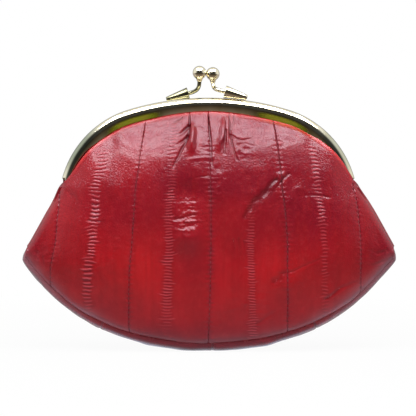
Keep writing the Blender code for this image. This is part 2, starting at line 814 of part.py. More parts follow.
def build():
    clear_scene()
    group = collection("clasp_purse")
    cutters = collection("cutters")
    gold = material("gold_plate", GOLD, 0.15, 1.0)
    leather = material("red_leather", LEATHER_RED, 0.3, 0.0)
    cloth = material("lining_cloth", LINING_RED, 0.8, 0.0)
    paper = material("paper", PAPER_TAN, 0.9, 0.0)
    for side, face, end in ((FRONT, "front", RIGHT), (REAR, "rear", LEFT)):
        pivot = bpy.data.objects.new(f"{face}_half", None)
        group.objects.link(pivot)
        pivot.location = (0, 0, HINGE_HEIGHT)
        bpy.context.view_layer.update()
        frame_half(f"frame_{face}", side, group, cutters, gold, pivot)
        paper_cord(f"paper_cord_{face}", side, group, paper, pivot)
        ferrule(f"ferrule_{face}", side, end, group, cutters, gold, pivot)
        stem(f"knob_stem_{face}", side, end, group, gold, pivot)
        ball_knob(f"knob_ball_{face}", side, end, group, cutters, gold, pivot)
        leather_strips(side, group, leather)
        panel_lining(f"lining_{face}", side, group, cloth)
    rivet("hinge_rivet_left", LEFT, group, gold)
    rivet("hinge_rivet_right", RIGHT, group, gold)
    gusset_pieces(group, leather)
    gusset_lining("lining_gusset", group, cloth)


build()
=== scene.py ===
"""The looks of the clasp-top coin purse: glossy red leather pieced from eel skin, in a pale gold frame.

The bag's panels, gusset and linings are modelled as meshes round the rigid CAD solids. Their upper edges run
up into the frame's channel. Lengths are in metres, in the tables in millimetres.
"side" is -1 for the front and 1 for the rear, "end" is -1 for the left and 1 for the right. A panel's own
coordinates look at it from outside: x to the right, z up, and depth towards the viewer.
"""

import json
import math

import bmesh
import bpy
import numpy as np
from mathutils import Matrix, Vector

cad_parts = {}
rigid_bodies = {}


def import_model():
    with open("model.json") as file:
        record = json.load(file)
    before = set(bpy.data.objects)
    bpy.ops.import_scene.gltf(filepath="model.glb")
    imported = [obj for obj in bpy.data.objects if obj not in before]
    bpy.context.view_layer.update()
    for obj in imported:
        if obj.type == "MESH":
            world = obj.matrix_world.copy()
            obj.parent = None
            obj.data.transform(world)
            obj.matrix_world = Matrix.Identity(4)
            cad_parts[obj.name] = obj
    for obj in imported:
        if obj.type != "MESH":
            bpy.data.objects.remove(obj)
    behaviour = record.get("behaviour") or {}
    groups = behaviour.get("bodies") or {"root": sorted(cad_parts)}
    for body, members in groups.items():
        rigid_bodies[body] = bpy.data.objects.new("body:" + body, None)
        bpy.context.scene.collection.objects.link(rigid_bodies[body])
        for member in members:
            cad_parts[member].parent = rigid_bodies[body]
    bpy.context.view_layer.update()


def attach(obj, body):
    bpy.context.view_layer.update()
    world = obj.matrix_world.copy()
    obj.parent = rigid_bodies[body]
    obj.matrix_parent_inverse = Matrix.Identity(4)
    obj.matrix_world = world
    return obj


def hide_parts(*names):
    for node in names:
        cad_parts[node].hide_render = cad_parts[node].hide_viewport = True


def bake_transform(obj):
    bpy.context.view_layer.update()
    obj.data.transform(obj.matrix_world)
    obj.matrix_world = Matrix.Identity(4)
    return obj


MM = 0.001
FRONT = -1
REAR = 1
LEFT = -1
RIGHT = 1
SIDES = {"front": FRONT, "rear": REAR}
HALVES = {"front": "front_half", "rear": "rear_half"}

# The frame's arch and channel, as in the CAD model
HINGE_HEIGHT = 61.0 * MM
ARCH_RISE = 33.4 * MM
TOP_RADIUS = 102.0 * MM
TOP_ARC_HALF_WIDTH = 30.0 * MM
SHOULDER_RADIUS = 36.7 * MM
CHANNEL_END_RISE = 2.8 * MM
CHANNEL_WIDTH = 5.0 * MM
CHANNEL_END_DEPTH = 3.4 * MM
SHEET_THICKNESS = 0.6 * MM
CROWN_RADIUS = 2.5 * MM
SPLIT_GAP = 0.3 * MM
LIP_LEAN = 0.4 * MM  # the outer lip is crimped in on the leather
LIP_ROUND = 0.2 * MM

# Hinge
EAR_RADIUS = 2.3 * MM
EAR_THICKNESS = 0.7 * MM
EAR_HEIGHT = 3.6 * MM
EAR_MARGIN = 0.3 * MM
EAR_INSET = 0.5 * MM
EAR_GAP = 0.3 * MM
RIVET_RADIUS = 0.9 * MM
RIVET_HEAD_RADIUS = 1.6 * MM
RIVET_HEAD_THICKNESS = 0.45 * MM
RIVET_HOLE_RADIUS = 1.15 * MM

# Clasp
BALL_DIAMETER = 5.1 * MM
BALL_GAP = -0.12 * MM
BALL_RISE = 9.5 * MM
BALL_CROSSING = 0.7 * MM
CLASP_SHIFT = 0.8 * MM
BALL_DROP = {RIGHT: 0.6 * MM, LEFT: 0.15 * MM}  # the knobs aren't quite level
COLLAR_RADIUS = 1.35 * MM
COLLAR_HEIGHT = 1.1 * MM
STEM_DIAMETER = 1.5 * MM
STEM_BEND = 3.6 * MM
FERRULE_LENGTH = 8.6 * MM
FERRULE_WIDE_RADIUS = 2.35 * MM
FERRULE_NARROW_RADIUS = 0.95 * MM
FERRULE_OFFSET = 11.0 * MM
FERRULE_SEAT = {RIGHT: 0.02 * MM, LEFT: -0.55 * MM}
FERRULE_SHIFT = {RIGHT: 0.0, LEFT: 0.35 * MM}
FERRULE_EDGE = 0.15 * MM
FERRULE_DISH = 0.35 * MM
# How much dark reflection is painted on a knob's plating; past 1 the plating is also rougher
KNOB_DULLNESS = {"front": 0.0, "rear": 1.7}  # of a knob's ferrule and stem
RIVET_SIDES = 40
FERRULE_SIDES = 48
BALL_SIDES = 56
STEM_SIDES = 28
SHARP_ANGLE = math.radians(38)

# Outline of a panel
LEATHER = 0.9 * MM
PANEL_HALF_WIDTH = 68.8 * MM
CORNER_TOP = 38.9 * MM
CORNER_BOTTOM = 34.0 * MM
BASE_SEAM = 2.9 * MM
BASE_CURVE_SHARE = 0.617
LEFT_DRAWN_IN = 1.0 * MM
HUNG_ASIDE = 0.5 * MM
INNER_STRIP_WIDTH = 23.7 * MM
END_STRIP_WIDTH = 12.6 * MM
RIGHT_END_WIDER = 2.8 * MM
STRIP_FAN = 6.6 * MM
FAN_POWER = 2.4
END_SEAM = PANEL_HALF_WIDTH - END_STRIP_WIDTH
SEAMS = (-END_SEAM, -INNER_STRIP_WIDTH, 0.0, INNER_STRIP_WIDTH, END_SEAM - RIGHT_END_WIDER)

# Swell of a panel
TOP_EDGE_DEPTH = 4.35 * MM
OVER_LIP_DEPTH = 6.1 * MM
GRIP_START = 32.0 * MM
GRIP_END = 38.0 * MM
OVER_LIP_START = 36.0 * MM
OVER_LIP_END = 47.0 * MM
CORNER_DEPTH = 6.5 * MM
BASE_DEPTH = 11.5 * MM
BELLY_DEPTH = 16.5 * MM
BELLY_ROUND_TOP = 36.0 * MM
BELLY_ROUND_BASE = 30.0 * MM
SWELL_POWER = 2.3
FIELD_ACROSS = (-16 * MM, 76 * MM)
FIELD_UP = (-8 * MM, 98 * MM)
FIELD_STEP = 0.5 * MM
FIELD_BLUR = 2.2 * MM

# Fine form of the leather
HEM_ROUND = 2.8 * MM
SIDE_HEM_ROUND = 2.4 * MM
TURNED_EDGE = 1.1 * MM
CHANNEL_CLEARANCE = 1.3 * MM
SEAM_DEPTH = 0.26 * MM
SEAM_WIDTH = 0.26 * MM
SEAM_HOLLOW_DEPTH = 0.08 * MM
SEAM_HOLLOW_WIDTH = 2.2 * MM
STITCH_PITCH = 1.75 * MM
STITCH_SHARE = 0.62
STITCH_RADIUS = 0.12 * MM
STITCHES_START = 2.2 * MM  # above the bottom seam
STITCHES_END = 0.5 * MM  # below the upper edge
PUCKER_DEPTH = 0.065 * MM
PUCKER_REACH = 1.3 * MM
FOLD_WINDOW = 24 * MM  # points further from a fold's start than this aren't touched by it
RIDGE_WINDOW = 12 * MM

# Colour painted on the leather: painted shade, light, sheen and highlight, and the darker seams
# An even darkening of the leather's colour, on which the painted shade and light lie
DYE_BASE = 0.35
# Reach of the painted grey-violet sheen along the bottom seam, and how much further it reaches at the corners
WORN_REACH = 3.2 * MM
WORN_CORNER_REACH = 1.2 * MM
# Reach of the painted highlight along the leather's upper edge
BRIGHT_RIM = 0.9 * MM
SEAM_SHADE = 0.65 * MM

# The ladders over the skins' backbones: x on the upper edge, rung pitch, half width and relief, and then
# (height, share of the relief) pairs from the base up
SPINES = (
    (-38.6, 1.4, 1.7, 0.11, ((14, 0.2), (20, 1.2), (50, 1.1), (60, 0.9), (74, 0.7), (82, 0.3))),
    (-11.9, 1.12, 1.2, 0.085, ((8, 0.1), (12, 0.9), (30, 1), (60, 1), (70, 0.6), (90, 0.5))),
    (12.2, 1, 1.05, 0.07, ((8, 0.9), (30, 1.2), (45, 0.9), (58, 0.2), (78, 0.1), (84, 0.3))),
    (36.8, 1.3, 1.3, 0.09, ((14, 0.4), (40, 0.8), (52, 1), (78, 1), (84, 0.3))),
)

# Meshes of the panels and the gusset
STRIP_NAMES = ("left_end", "left_outer", "left_inner", "right_inner", "right_outer", "right_end")
GRAIN_SEEDS = {"front": 100, "rear": 700}
PANEL_ROWS = {"front": 360, "rear": 205}
END_ROWS = 110
TURN_ROWS = 5
COLUMN = 0.62 * MM
LADDER_COLUMN = 0.38 * MM
SEAM_COLUMN = 0.25 * MM
PLEAT_COLUMN = 0.21 * MM
PLEATS_REACH = 13.5 * MM
GUSSET_NAMES = ("left_side", "left_base", "right_base", "right_side")
GUSSET_STEP = 0.55 * MM
GUSSET_COLUMNS = 45
LINING_COLUMNS = 130
LINING_ROWS = 100

# Lining, with what each sheet measures flat, in metres
LINING = 0.4 * MM
LINING_GAP = 0.25 * MM
LINING_INSET = 3.0 * MM
LINING_CRUMPLE = 0.12 * MM
LINING_ENDS = (0.045, 0.992)  # from the bottom seam to the upper edge
GUSSET_LINING_DROP = LEATHER + 0.3 * MM
GUSSET_LINING_ENDS = (0.12, 0.88)  # across the gusset
GUSSET_LINING_CUT = 12  # stations left out at each hinge

# Gusset
BASE_BAND = 3.4 * MM
SIDE_DISH = 3.2 * MM
GUSSET_SEAMS = (-39.5 * MM, 1.5 * MM, 39.5 * MM)
GUSSET_BASE_INSET = 1.1 * MM
GUSSET_SIDE_INSET = 0.75 * MM
GUSSET_TUCK = 0.9 * MM
HINGE_ROOM = 0.3 * MM

# Opening: how far below the hinge's height a point's share of following the frame starts to rise, and how far
# above it that share is full, as shares of the height that its upper edge has there
FOLLOW_START_SHARE = 0.35
FOLLOW_END_SHARE = 0.93
FOLLOW_LEAST = 3.5 * MM

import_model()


# Arch


def arch_centres():
    """Centres of the top arc and the shoulder, as x and z, and the angle where the two arcs join."""
    join = math.asin(TOP_ARC_HALF_WIDTH / TOP_RADIUS)
    top = np.array((0, HINGE_HEIGHT + ARCH_RISE - TOP_RADIUS))
    shoulder = top + (TOP_RADIUS - SHOULDER_RADIUS) * np.array((math.sin(join), math.cos(join)))
    return top, shoulder, join


def arch_point(angle, inset):
    """x and z of the arch where its outward normal leans by angle from the vertical."""
    top, shoulder, join = arch_centres()
    lean = abs(angle)
    centre, radius = (top, TOP_RADIUS) if lean <= join else (shoulder, SHOULDER_RADIUS)
    x, z = centre + (radius - inset) * np.array((math.sin(lean), math.cos(lean)))
    return math.copysign(x, angle), z


def arch_end_angle():
    _, shoulder, _ = arch_centres()
    rise = HINGE_HEIGHT + CHANNEL_END_RISE - shoulder[1]
    return math.acos(rise / (SHOULDER_RADIUS - CHANNEL_END_DEPTH / 2))


END_ANGLE = arch_end_angle()
ARCH_END_X = arch_point(END_ANGLE, 0)[0]


def by_reach(angle, table):
    """A value from a table of (x of the arch, value) pairs."""
    places, values = zip(*table)
    return np.interp(abs(arch_point(angle, 0)[0]) / MM, places, values) * MM


# Depth of the channel, by x of the arch
TOP_DEPTHS = ((0, 4.95), (10, 5.2), (20, 5.45), (30, 5.35))
CHANNEL_DEPTHS = (*TOP_DEPTHS, (36, 5.25), (41, 5.2), (45.5, 4.8), (49.6, 3.9), (54.7, 3.4))
# How far below the arch's top the leather's edge shows: near the legs it bulges over the channel's lip
OVER_LIP_INSETS = ((36, 5.15), (41, 5.1), (45.5, 4.5), (49.6, 3.4), (51.5, 2.9), (53.5, 2.3), (54.7, 1.3))
LEATHER_INSETS = (*TOP_DEPTHS, *OVER_LIP_INSETS)
ARCH_ANGLES = np.linspace(0, END_ANGLE, 80)
MOUTH_INSETS = np.array([by_reach(a, LEATHER_INSETS) for a in ARCH_ANGLES])
MOUTH = np.array([arch_point(a, inset) for a, inset in zip(ARCH_ANGLES, MOUTH_INSETS)])


# Numbers on a plane


def noise(x, z, size, seed):
    """Smooth noise from -1 to 1 whose lumps are about size across."""
    table = np.random.default_rng(seed).uniform(-1, 1, (256, 256))
    u = np.asarray(x) / size + 97.3
    v = np.asarray(z) / size + 41.7
    i, j = np.floor(u).astype(int), np.floor(v).astype(int)
    p, q = u - i, v - j
    p, q = p**3 * (p * (6 * p - 15) + 10), q**3 * (q * (6 * q - 15) + 10)
    i0, i1, j0, j1 = i % 256, (i + 1) % 256, j % 256, (j + 1) % 256
    low = table[i0, j0] * (1 - p) + table[i1, j0] * p
    high = table[i0, j1] * (1 - p) + table[i1, j1] * p
    return low * (1 - q) + high * q


def distance(x, z, line):
    """Distance from points to a line of points, and where the nearest place is along it, from 0 to 1.

    The distance is less than zero to the left of a line that runs down.
    """
    nearest = np.full(np.shape(x), np.inf)
    along = np.zeros(np.shape(x))
    lengths = np.hypot(*np.diff(line, axis=0).T)
    starts = np.concatenate(([0], np.cumsum(lengths)))
    for (ax, az), (bx, bz), start, length in zip(line, line[1:], starts, lengths):
        share = np.clip(((x - ax) * (bx - ax) + (z - az) * (bz - az)) / length**2, 0, 1)
        gap = np.hypot(x - ax - share * (bx - ax), z - az - share * (bz - az))
        right = np.where((x - ax) * (az - bz) - (z - az) * (ax - bx) < 0, -1, 1)
        closer = gap < np.abs(nearest)
        nearest = np.where(closer, gap * right, nearest)
        along = np.where(closer, (start + share * length) / starts[-1], along)
    return nearest, along


def bell(value, width):
    return np.exp(-((value / width) ** 2))


def smoothstep(value, low, high):
    share = np.clip((value - low) / (high - low), 0, 1)
    return share * share * (3 - 2 * share)


def spots(x, z, table):
    """The sum of soft spots: rows of x, z, a half width and half height or one reach, and strength."""
    total = 0
    for spot_x, spot_z, *reach, strength in table:
        away = np.hypot((x / MM - spot_x) / reach[0], (z / MM - spot_z) / reach[-1])
        total = total + strength * bell(away, 1)
    return total


def blurred(field, radius):
    """A grid smoothed by a bell, with its edges held."""
    reach = int(3 * radius)
    kernel = np.exp(-0.5 * (np.arange(-reach, reach + 1) / radius) ** 2)
    kernel /= kernel.sum()
    for axis in (0, 1):
        padded = np.pad(field, [(reach, reach) if a == axis else (0, 0) for a in (0, 1)], mode="edge")
        field = np.apply_along_axis(np.convolve, axis, padded, kernel, "valid")
    return field


# Outline and swell of a panel


def base_edge(x):
    share = (np.asarray(x) / PANEL_HALF_WIDTH) ** 2
    curve = BASE_CURVE_SHARE * share + (1 - BASE_CURVE_SHARE) * share**2
    return BASE_SEAM + (CORNER_BOTTOM - BASE_SEAM) * curve


def line(*points):
    return np.array(points) * MM


# The edges of a panel's right half
SIDE_POINTS = ((55.3, 62), (56.7, 59.7), (58.9, 56.2), (61.7, 51.6), (64.2, 47.1), (66.7, 42.6), (68.8, 38.9))
SIDE_LINE = line(*SIDE_POINTS)
UPPER = np.vstack((MOUTH, SIDE_LINE))
LOWER = np.array([(x, base_edge(x)) for x in np.linspace(0, PANEL_HALF_WIDTH, 50)])


def top_edge(x):
    return np.interp(np.abs(x), UPPER[:, 0], UPPER[:, 1])


def swell(gap, reach):
    return 1 - (1 - np.minimum(gap / reach, 1)) ** SWELL_POWER


def edge_depth(x, z):
    """Depth of a panel's upper or side edge near a point."""
    over = smoothstep(np.abs(x), OVER_LIP_START, OVER_LIP_END)
    drop = np.clip((HINGE_HEIGHT - z) / (HINGE_HEIGHT - CORNER_TOP), 0, 1) * over
    at_top = TOP_EDGE_DEPTH + (OVER_LIP_DEPTH - TOP_EDGE_DEPTH) * over
    return at_top + (CORNER_DEPTH - OVER_LIP_DEPTH) * drop


def base_depth(x):
    return BASE_DEPTH + (CORNER_DEPTH - BASE_DEPTH) * (x / PANEL_HALF_WIDTH) ** 2


def belly_field():
    """Depth of a smooth panel on a grid over its outline's right half."""
    xs = np.arange(*FIELD_ACROSS, FIELD_STEP)
    zs = np.arange(*FIELD_UP, FIELD_STEP)
    x, z = np.meshgrid(xs, zs, indexing="ij")
    across = np.abs(x)
    up = np.abs(distance(across, z, UPPER)[0]) * np.sign(top_edge(x) - z)
    down = np.abs(distance(across, z, LOWER)[0]) * np.sign(z - base_edge(across))
    up = blurred(up, FIELD_BLUR / FIELD_STEP)
    down = blurred(down, FIELD_BLUR / FIELD_STEP)
    rise, fall = swell(up, BELLY_ROUND_TOP), 1 - swell(down, BELLY_ROUND_BASE)
    edge = edge_depth(across, z)
    depth = edge + (BELLY_DEPTH - edge) * rise - (BELLY_DEPTH - base_depth(across)) * fall * rise
    return xs, zs, depth


FIELD_X, FIELD_Z, FIELD = belly_field()


def cubic_weights(t):
    """Weights of the four nearest samples for smooth interpolation."""
    return (
        ((-0.5 * t + 1) * t - 0.5) * t,
        (1.5 * t - 2.5) * t * t + 1,
        ((-1.5 * t + 2) * t + 0.5) * t,
        (0.5 * t - 0.5) * t * t,
    )


def belly(x, z):
    """Depth of the smooth panel at points in its plane."""
    u = (np.abs(x) - FIELD_X[0]) / FIELD_STEP
    v = (z - FIELD_Z[0]) / FIELD_STEP
    i = np.clip(np.floor(u).astype(int), 1, len(FIELD_X) - 3)
    j = np.clip(np.floor(v).astype(int), 1, len(FIELD_Z) - 3)
    across, up = cubic_weights(u - i), cubic_weights(v - j)
    return sum(
        across[a] * up[b] * FIELD[i + a - 1, j + b - 1]
        for a in range(4)
        for b in range(4)
    )


def belly_normal(x, z):
    """Outward normal of the smooth panel, as x, depth and z."""
    step = FIELD_STEP
    slope_x = (belly(x + step, z) - belly(x - step, z)) / (2 * step)
    slope_z = (belly(x, z + step) - belly(x, z - step)) / (2 * step)
    normal = np.stack((-slope_x, np.ones_like(slope_x), -slope_z), axis=-1)
    return normal / np.linalg.norm(normal, axis=-1, keepdims=True)


def off_belly(x, z, height):
    """Points at a height above the smooth panel, along its normals."""
    return np.stack((x, belly(x, z), z), axis=-1) + belly_normal(x, z) * height[..., None]


# Relief of the leather


# Each fold: its depth, its width, the share of its depth at its end, and then its line
FOLDS = (
    (1.6, 0.55, 0.45, (-7, 90.5), (-7, 83.8), (-7.4, 80.3)),
    (1.1, 0.9, 0.15, (-7.2, 84.2), (-9.2, 81.6), (-11.2, 80.2)),
    (1, 0.6, 0.15, (-7.6, 80.2), (-9.6, 78.2), (-11.8, 76.9)),
    (0.9, 0.5, 0.35, (-7.6, 79.5), (-9.8, 75.2), (-11.1, 72.6), (-13, 69.1)),
    (0.7, 0.5, 0.2, (-9.6, 86.9), (-11.2, 85.9), (-13.6, 84.5)),
    (0.25, 0.35, 0.4, (-5, 83.6), (-3.2, 83.4), (-1.2, 82.9)),
    (1, 0.38, 0.4, (-0.2, 90.5), (0.4, 83.4), (1, 77.8), (1.1, 73.2), (1.3, 69.8)),
    (0.6, 0.45, 0.2, (-2.4, 90.5), (-1.3, 86.5)),
    (0.6, 0.45, 0.6, (6.6, 82.3), (6.2, 76.9), (5.9, 73.9)),
    (0.9, 0.36, 0.4, (7.8, 90.5), (7.9, 85.9), (8.2, 80.8), (8.8, 77.8), (9.6, 74.7), (10.7, 71.5)),
    (0.9, 0.45, 0.2, (9.7, 90.5), (9.4, 86), (8.6, 82.5)),
    (0.5, 0.4, 0.2, (8.3, 80.8), (10.2, 79.3), (12.4, 78.6), (16.2, 79)),
    (0.3, 0.4, 0.2, (10.8, 77), (13.6, 77.4), (17, 76.2)),
    (0.2, 0.35, 0.2, (0.2, 65.9), (-3.6, 65.1), (-7.5, 64)),
    (0.55, 0.5, 0.3, (29, 66.4), (25.9, 62.5), (22.6, 58.6), (19.3, 54.6)),
    (0.8, 1.2, 0.5, (24.5, 64.2), (21.4, 60.5), (17, 56), (13.6, 50.6)),
    (0.5, 0.45, 0.3, (22.6, 60.5), (18.4, 55.4), (15.4, 49.5)),
    (-0.5, 1.3, 0.3, (26.6, 66), (21.8, 59.6), (18.4, 53.4)),
    (-0.35, 1.4, 0.3, (33, 61), (27, 52.5), (23.5, 46)),
    (0.3, 0.5, 0.2, (9.2, 42), (9.6, 38), (9.2, 33.5)),
    (0.3, 0.45, 0.2, (11.2, 42.4), (11.6, 38), (11.8, 34)),
    (0.25, 0.4, 0.2, (13.2, 41.8), (13.9, 37), (13.8, 33)),
    (0.3, 0.45, 0.3, (27, 29.6), (31, 30.2), (36.5, 33), (42, 35.2)),
    (0.35, 1.5, 0.7, (24.6, 26.5), (27.8, 29.4)),
    (0.35, 0.6, 0.2, (18, 10.8), (21.5, 13.2), (26, 16)),
    (0.3, 0.6, 0.3, (-12.5, 49.5), (-2.5, 52)),
    (0.3, 0.5, 0.2, (44, 57.6), (38, 58.6), (33, 57.8)),
    (0.45, 0.8, 0.2, (44, 20), (49, 24), (56, 26.5)),
    (0.3, 0.7, 0.2, (-65, 37), (-64.5, 33.5), (-62.5, 30)),
    (0.25, 0.6, 0.2, (-62.5, 35), (-61.5, 31), (-60.5, 29)),
    (0.3, 0.7, 0.2, (66, 37.5), (62.5, 36.5), (58.5, 38.5)),
    (0.25, 0.6, 0.2, (65, 33.5), (61.5, 32), (58, 32.5)),
    (0.4, 0.7, 0.1, (-54.5, 61), (-51, 58), (-50, 54)),
    (0.4, 0.7, 0.1, (54.5, 61), (51.5, 58), (51, 53)),
)

# Each ridge between the gathers: its height, its reach to the left and to the right, and then its line
RIDGES = (
    (1.4, 1.4, 1, (-5.7, 86), (-5.6, 81.5), (-6.1, 76), (-6.8, 72.6)),
    (1.2, 1.8, 0.4, (6.3, 87.5), (5.7, 80.1), (4.5, 76.9), (3.8, 73.6)),
    (0.4, 0.5, 0.35, (7.4, 88.5), (7.3, 83.3), (7.1, 79.5), (7.5, 74)),
    (0.25, 0.8, 0.4, (-9.8, 71.4), (-3, 72.3), (3, 72.9), (9.8, 73.4)),
)

# Soft lumps: x, z, half width, half height and how far they stand out
LUMPS = (
    (-8, 43, 5.5, 5.5, 2),
    (-7.8, 59.5, 6, 5, -1.3),
    (30, 81, 20, 9, 1),
    (12, 48, 6, 9, 0.5),
    (3, 60, 5, 6, 0.3),
    (-38, 30, 9, 9, 0.4),
    (29, 25.5, 4.5, 4, 0.45),
    (50, 21, 6, 4, 0.5),
    (-17, 9.5, 14, 4, 0.35),
)

# Waves of the whole surface: size and rise
WAVES = ((17, 0.20), (8, 0.11), (3.2, 0.04))

# Fine crinkle: its strength everywhere, how far that varies, and patches of x, z, reach and strength
CRINKLE_LEAST = 0.02
CRINKLE_VARIES = 0.014
CRINKLES = (
    (-8.3, 47, 4, 0.5),
    (-8, 53.5, 4.5, 0.55),
    (16.3, 27, 3.5, 0.22),
    (17, 17, 3.5, 0.20),
    (3.4, 66, 2.6, 0.20),
    (3.6, 60, 2.6, 0.20),
    (-12, 79, 5, 0.16),
    (13.5, 76, 5, 0.17),
    (4, 62, 6, 0.08),
    (-2.5, 76.5, 3, 0.10),
    (18.5, 56.5, 6, 0.20),
    (14, 20, 8, 0.07),
    (-36, 33, 8, 0.07),
    (27, 28, 4.5, 0.13),
    (0, 10, 9, 0.07),
    (-64, 35, 6, 0.12),
    (64, 35, 6, 0.12),
)

# A net of creases in the crumpled patch: x, z, reach and depth
NETS = ((-8, 48, 5.5, 0.13),)
NET_SIZE = 1.3 * MM

# Painted shade and light: where the leather's colour is painted darker in place of shade, or lighter in place
# of light: x, z, half width, half height and how dark it is
DYE = (
    (0, 84, 60, 12, 0.7),
    (0, 55, 70, 16, 0.25),
    (16, 66.5, 22, 7.5, 0.85),
    (-9, 65.5, 10, 6, 0.5),
    (-6, 38, 9, 12, 0.3),
    (0, 2, 70, 9, 0.5),
    (-32, 56, 22, 13, 0.3),
    (40, 54, 20, 18, 0.5),
    (-68, 38, 8, 14, 0.5),
    (68, 36, 9, 14, 0.6),
    (-27, 34, 12, 12, -0.3),
    (30, 32, 12, 10, -0.25),
)


# How dark the leather's colour is painted: an even darkening, with painted shade and painted light on it
def dye(x, z):
    return DYE_BASE + spots(x, z, DYE)


def worn_rim(x, z):
    """How much grey-violet sheen is painted along a panel's bottom seam, most of all at the corners: a
    painted reflection of the floor and room.
    """
    to_corner = smoothstep(np.abs(x), 25 * MM, 62 * MM)
    patchy = 0.75 + 0.5 * noise(x, z, 6 * MM, 61)
    low = bell(np.maximum(z - base_edge(x), 0), WORN_REACH + WORN_CORNER_REACH * to_corner)
    return np.clip((0.2 + 0.22 * to_corner) * low * patchy, 0, 1)


def folds(x, z):
    """The creases and the ridges of the gathers, and how much shade is painted in the creases."""
    total, dark = np.zeros_like(x), np.zeros_like(x)
    waver = noise(x, z, 2.2 * MM, 5) * 0.25
    below = smoothstep(top_edge(x) - z, 1 * MM, 8 * MM)
    for depth, width, left, *path in FOLDS:
        depth, width = depth * MM, width * MM
        near = (np.abs(x - path[0][0] * MM) < FOLD_WINDOW).nonzero()
        gap, along = distance(x[near], z[near], line(*path))
        gap = np.abs(gap + waver[near] * width) / (0.5 + 0.5 * below[near])
        sharp = 0.8 * bell(gap, 0.75 * width) + 0.2 * np.exp(-gap / (1.5 * width))
        depth = depth * (1 - (1 - left) * along)
        total[near] -= depth * sharp * (0.6 + 0.4 * below[near])
        # Painted shade: the deeper a crease, the darker its colour is painted
        darkest = np.clip(1.1 * depth / MM - 0.1, 0, 0.95)
        dark[near] = np.maximum(dark[near], darkest * bell(gap, 0.9 * width))
    for height, left, right, *path in RIDGES:
        near = (np.abs(x - path[0][0] * MM) < RIDGE_WINDOW).nonzero()
        gap, along = distance(x[near], z[near], line(*path))
        slope = bell(gap, np.where(gap < 0, left, right) * MM)
        total[near] += height * MM * slope * smoothstep(along, 0, 0.35) * (1 - smoothstep(along, 0.6, 1))
    return total, dark


def lumps(x, z):
    return spots(x, z, LUMPS) * MM


def net(x, z, size, seed):
    """Sharp lines where the noise crosses zero."""
    return 1 - 2 * np.abs(noise(x, z, size, seed))


def crinkle(x, z, seed):
    """Fine creases that run together, as on skin."""
    total = np.zeros_like(x)
    for size, share, squash in ((3.1 * MM, 0.5, 0.6), (1.7 * MM, 0.32, 0.7), (1.0 * MM, 0.18, 1.0)):
        total += share * net(x * squash, z, size, seed + int(size / MM * 10))
    return total


def spine(away, z, pitch, half_width, seed):
    """The ladder of wrinkles over a backbone, from about -0.5 to 1: away is the distance from its line."""

    def along(size, number):
        return noise(z, 0 * z, size, seed + number)

    share = away / half_width
    turns = z / pitch + 0.7 * along(9 * MM, 0) + 0.12 * noise(away, z, 1.6 * MM, seed + 1)
    phase = 2 * math.pi * turns + (1.1 * along(6 * MM, 2) * share**2 + 1.2 * along(5 * MM, 3) * share)
    reach = half_width * (1 + 0.25 * along(12 * MM, 6) + 0.2 * along(pitch * 0.8, 4))
    uneven = noise(z, np.sign(away) * 5 * MM, pitch * 0.9, seed + 8)
    reach = reach * (1 + 1.6 * np.maximum(uneven - 0.25, 0))
    cover = 1 / (1 + np.abs((away + 0.2 * half_width * along(pitch, 7)) / reach) ** 8)
    ridge = np.abs(np.cos(phase / 2)) ** 3.5
    return (0.85 + 0.3 * along(4 * MM, 5)) * cover * (1.5 * ridge - 0.45)


def relief(x, z, x_top, seed):
    """Height of the leather above the smooth panel, and, for the colour, its ladders, which carry painted
    highlight and painted shade, and the shade painted in its creases.

    x_top says where the point's column meets the upper edge.
    """
    height, creased = folds(x, z)
    height += lumps(x, z)
    for number, (size, rise) in enumerate(WAVES, 10):
        height += rise * MM * noise(x, z, size * MM, seed + number)
    rough = CRINKLE_LEAST + CRINKLE_VARIES * noise(x, z, 12 * MM, seed + 13) + spots(x, z, CRINKLES)
    height += rough * MM * crinkle(x, z, seed + 20)
    height += spots(x, z, NETS) * MM * net(x, z, NET_SIZE, seed + 24)
    ladder = np.zeros_like(x)
    fade = smoothstep(top_edge(x) - z, 1 * MM, 6 * MM)
    for number, (line_x, pitch, half_width, depth, shares) in enumerate(SPINES):
        wander = 0.6 * MM * noise(z, 0 * z, 14 * MM, seed + 40 + number)
        steps = spine(x_top - line_x * MM - wander, z, pitch * MM, half_width * MM, seed + 50 + 10 * number)
        steps = steps * fade * np.interp(z / MM, *zip(*shares))
        height += steps * depth * MM
        ladder += steps
    return height, ladder, creased


def seam_relief(away, z, seed):
    """The drawn-down edge of a strip at a sewn seam: away is the distance from the seam."""
    pucker = np.cos(2 * math.pi * z / STITCH_PITCH + noise(z, 0 * z, 6 * MM, seed))
    pucker *= PUCKER_DEPTH * bell(away, PUCKER_REACH) * (1 + 0.8 * noise(away, z, 3 * MM, seed + 1))
    depth = SEAM_DEPTH * (0.8 + 0.5 * noise(away, z, 4 * MM, seed + 2))
    return pucker - depth * bell(away, SEAM_WIDTH) - SEAM_HOLLOW_DEPTH * bell(away, SEAM_HOLLOW_WIDTH)


def rolled(gap, radius):
    """How far a hem curves in at a distance from its edge."""
    near = np.clip(1 - gap / radius, 0, 1)
    return radius * (1 - np.sqrt(1 - near**2))


# Meshes


def even_turns(sides):
    return np.arange(sides) * 2 * math.pi / sides


def circle(radius, turns):
    return [(radius * math.cos(t), radius * math.sin(t)) for t in turns]


def arc(centre, radius, start, end, steps):
    return [(centre[0] + x, centre[1] + y) for x, y in circle(radius, np.linspace(start, end, steps))]


def ring(centre, along, radius, sides):
    """A circle of points round a path that runs along."""
    across = np.cross(along, (0, 1, 0))
    across /= np.linalg.norm(across)
    out = np.cross(across, along) / np.linalg.norm(along)
    return [centre + x * across + y * out for x, y in circle(radius, even_turns(sides))]


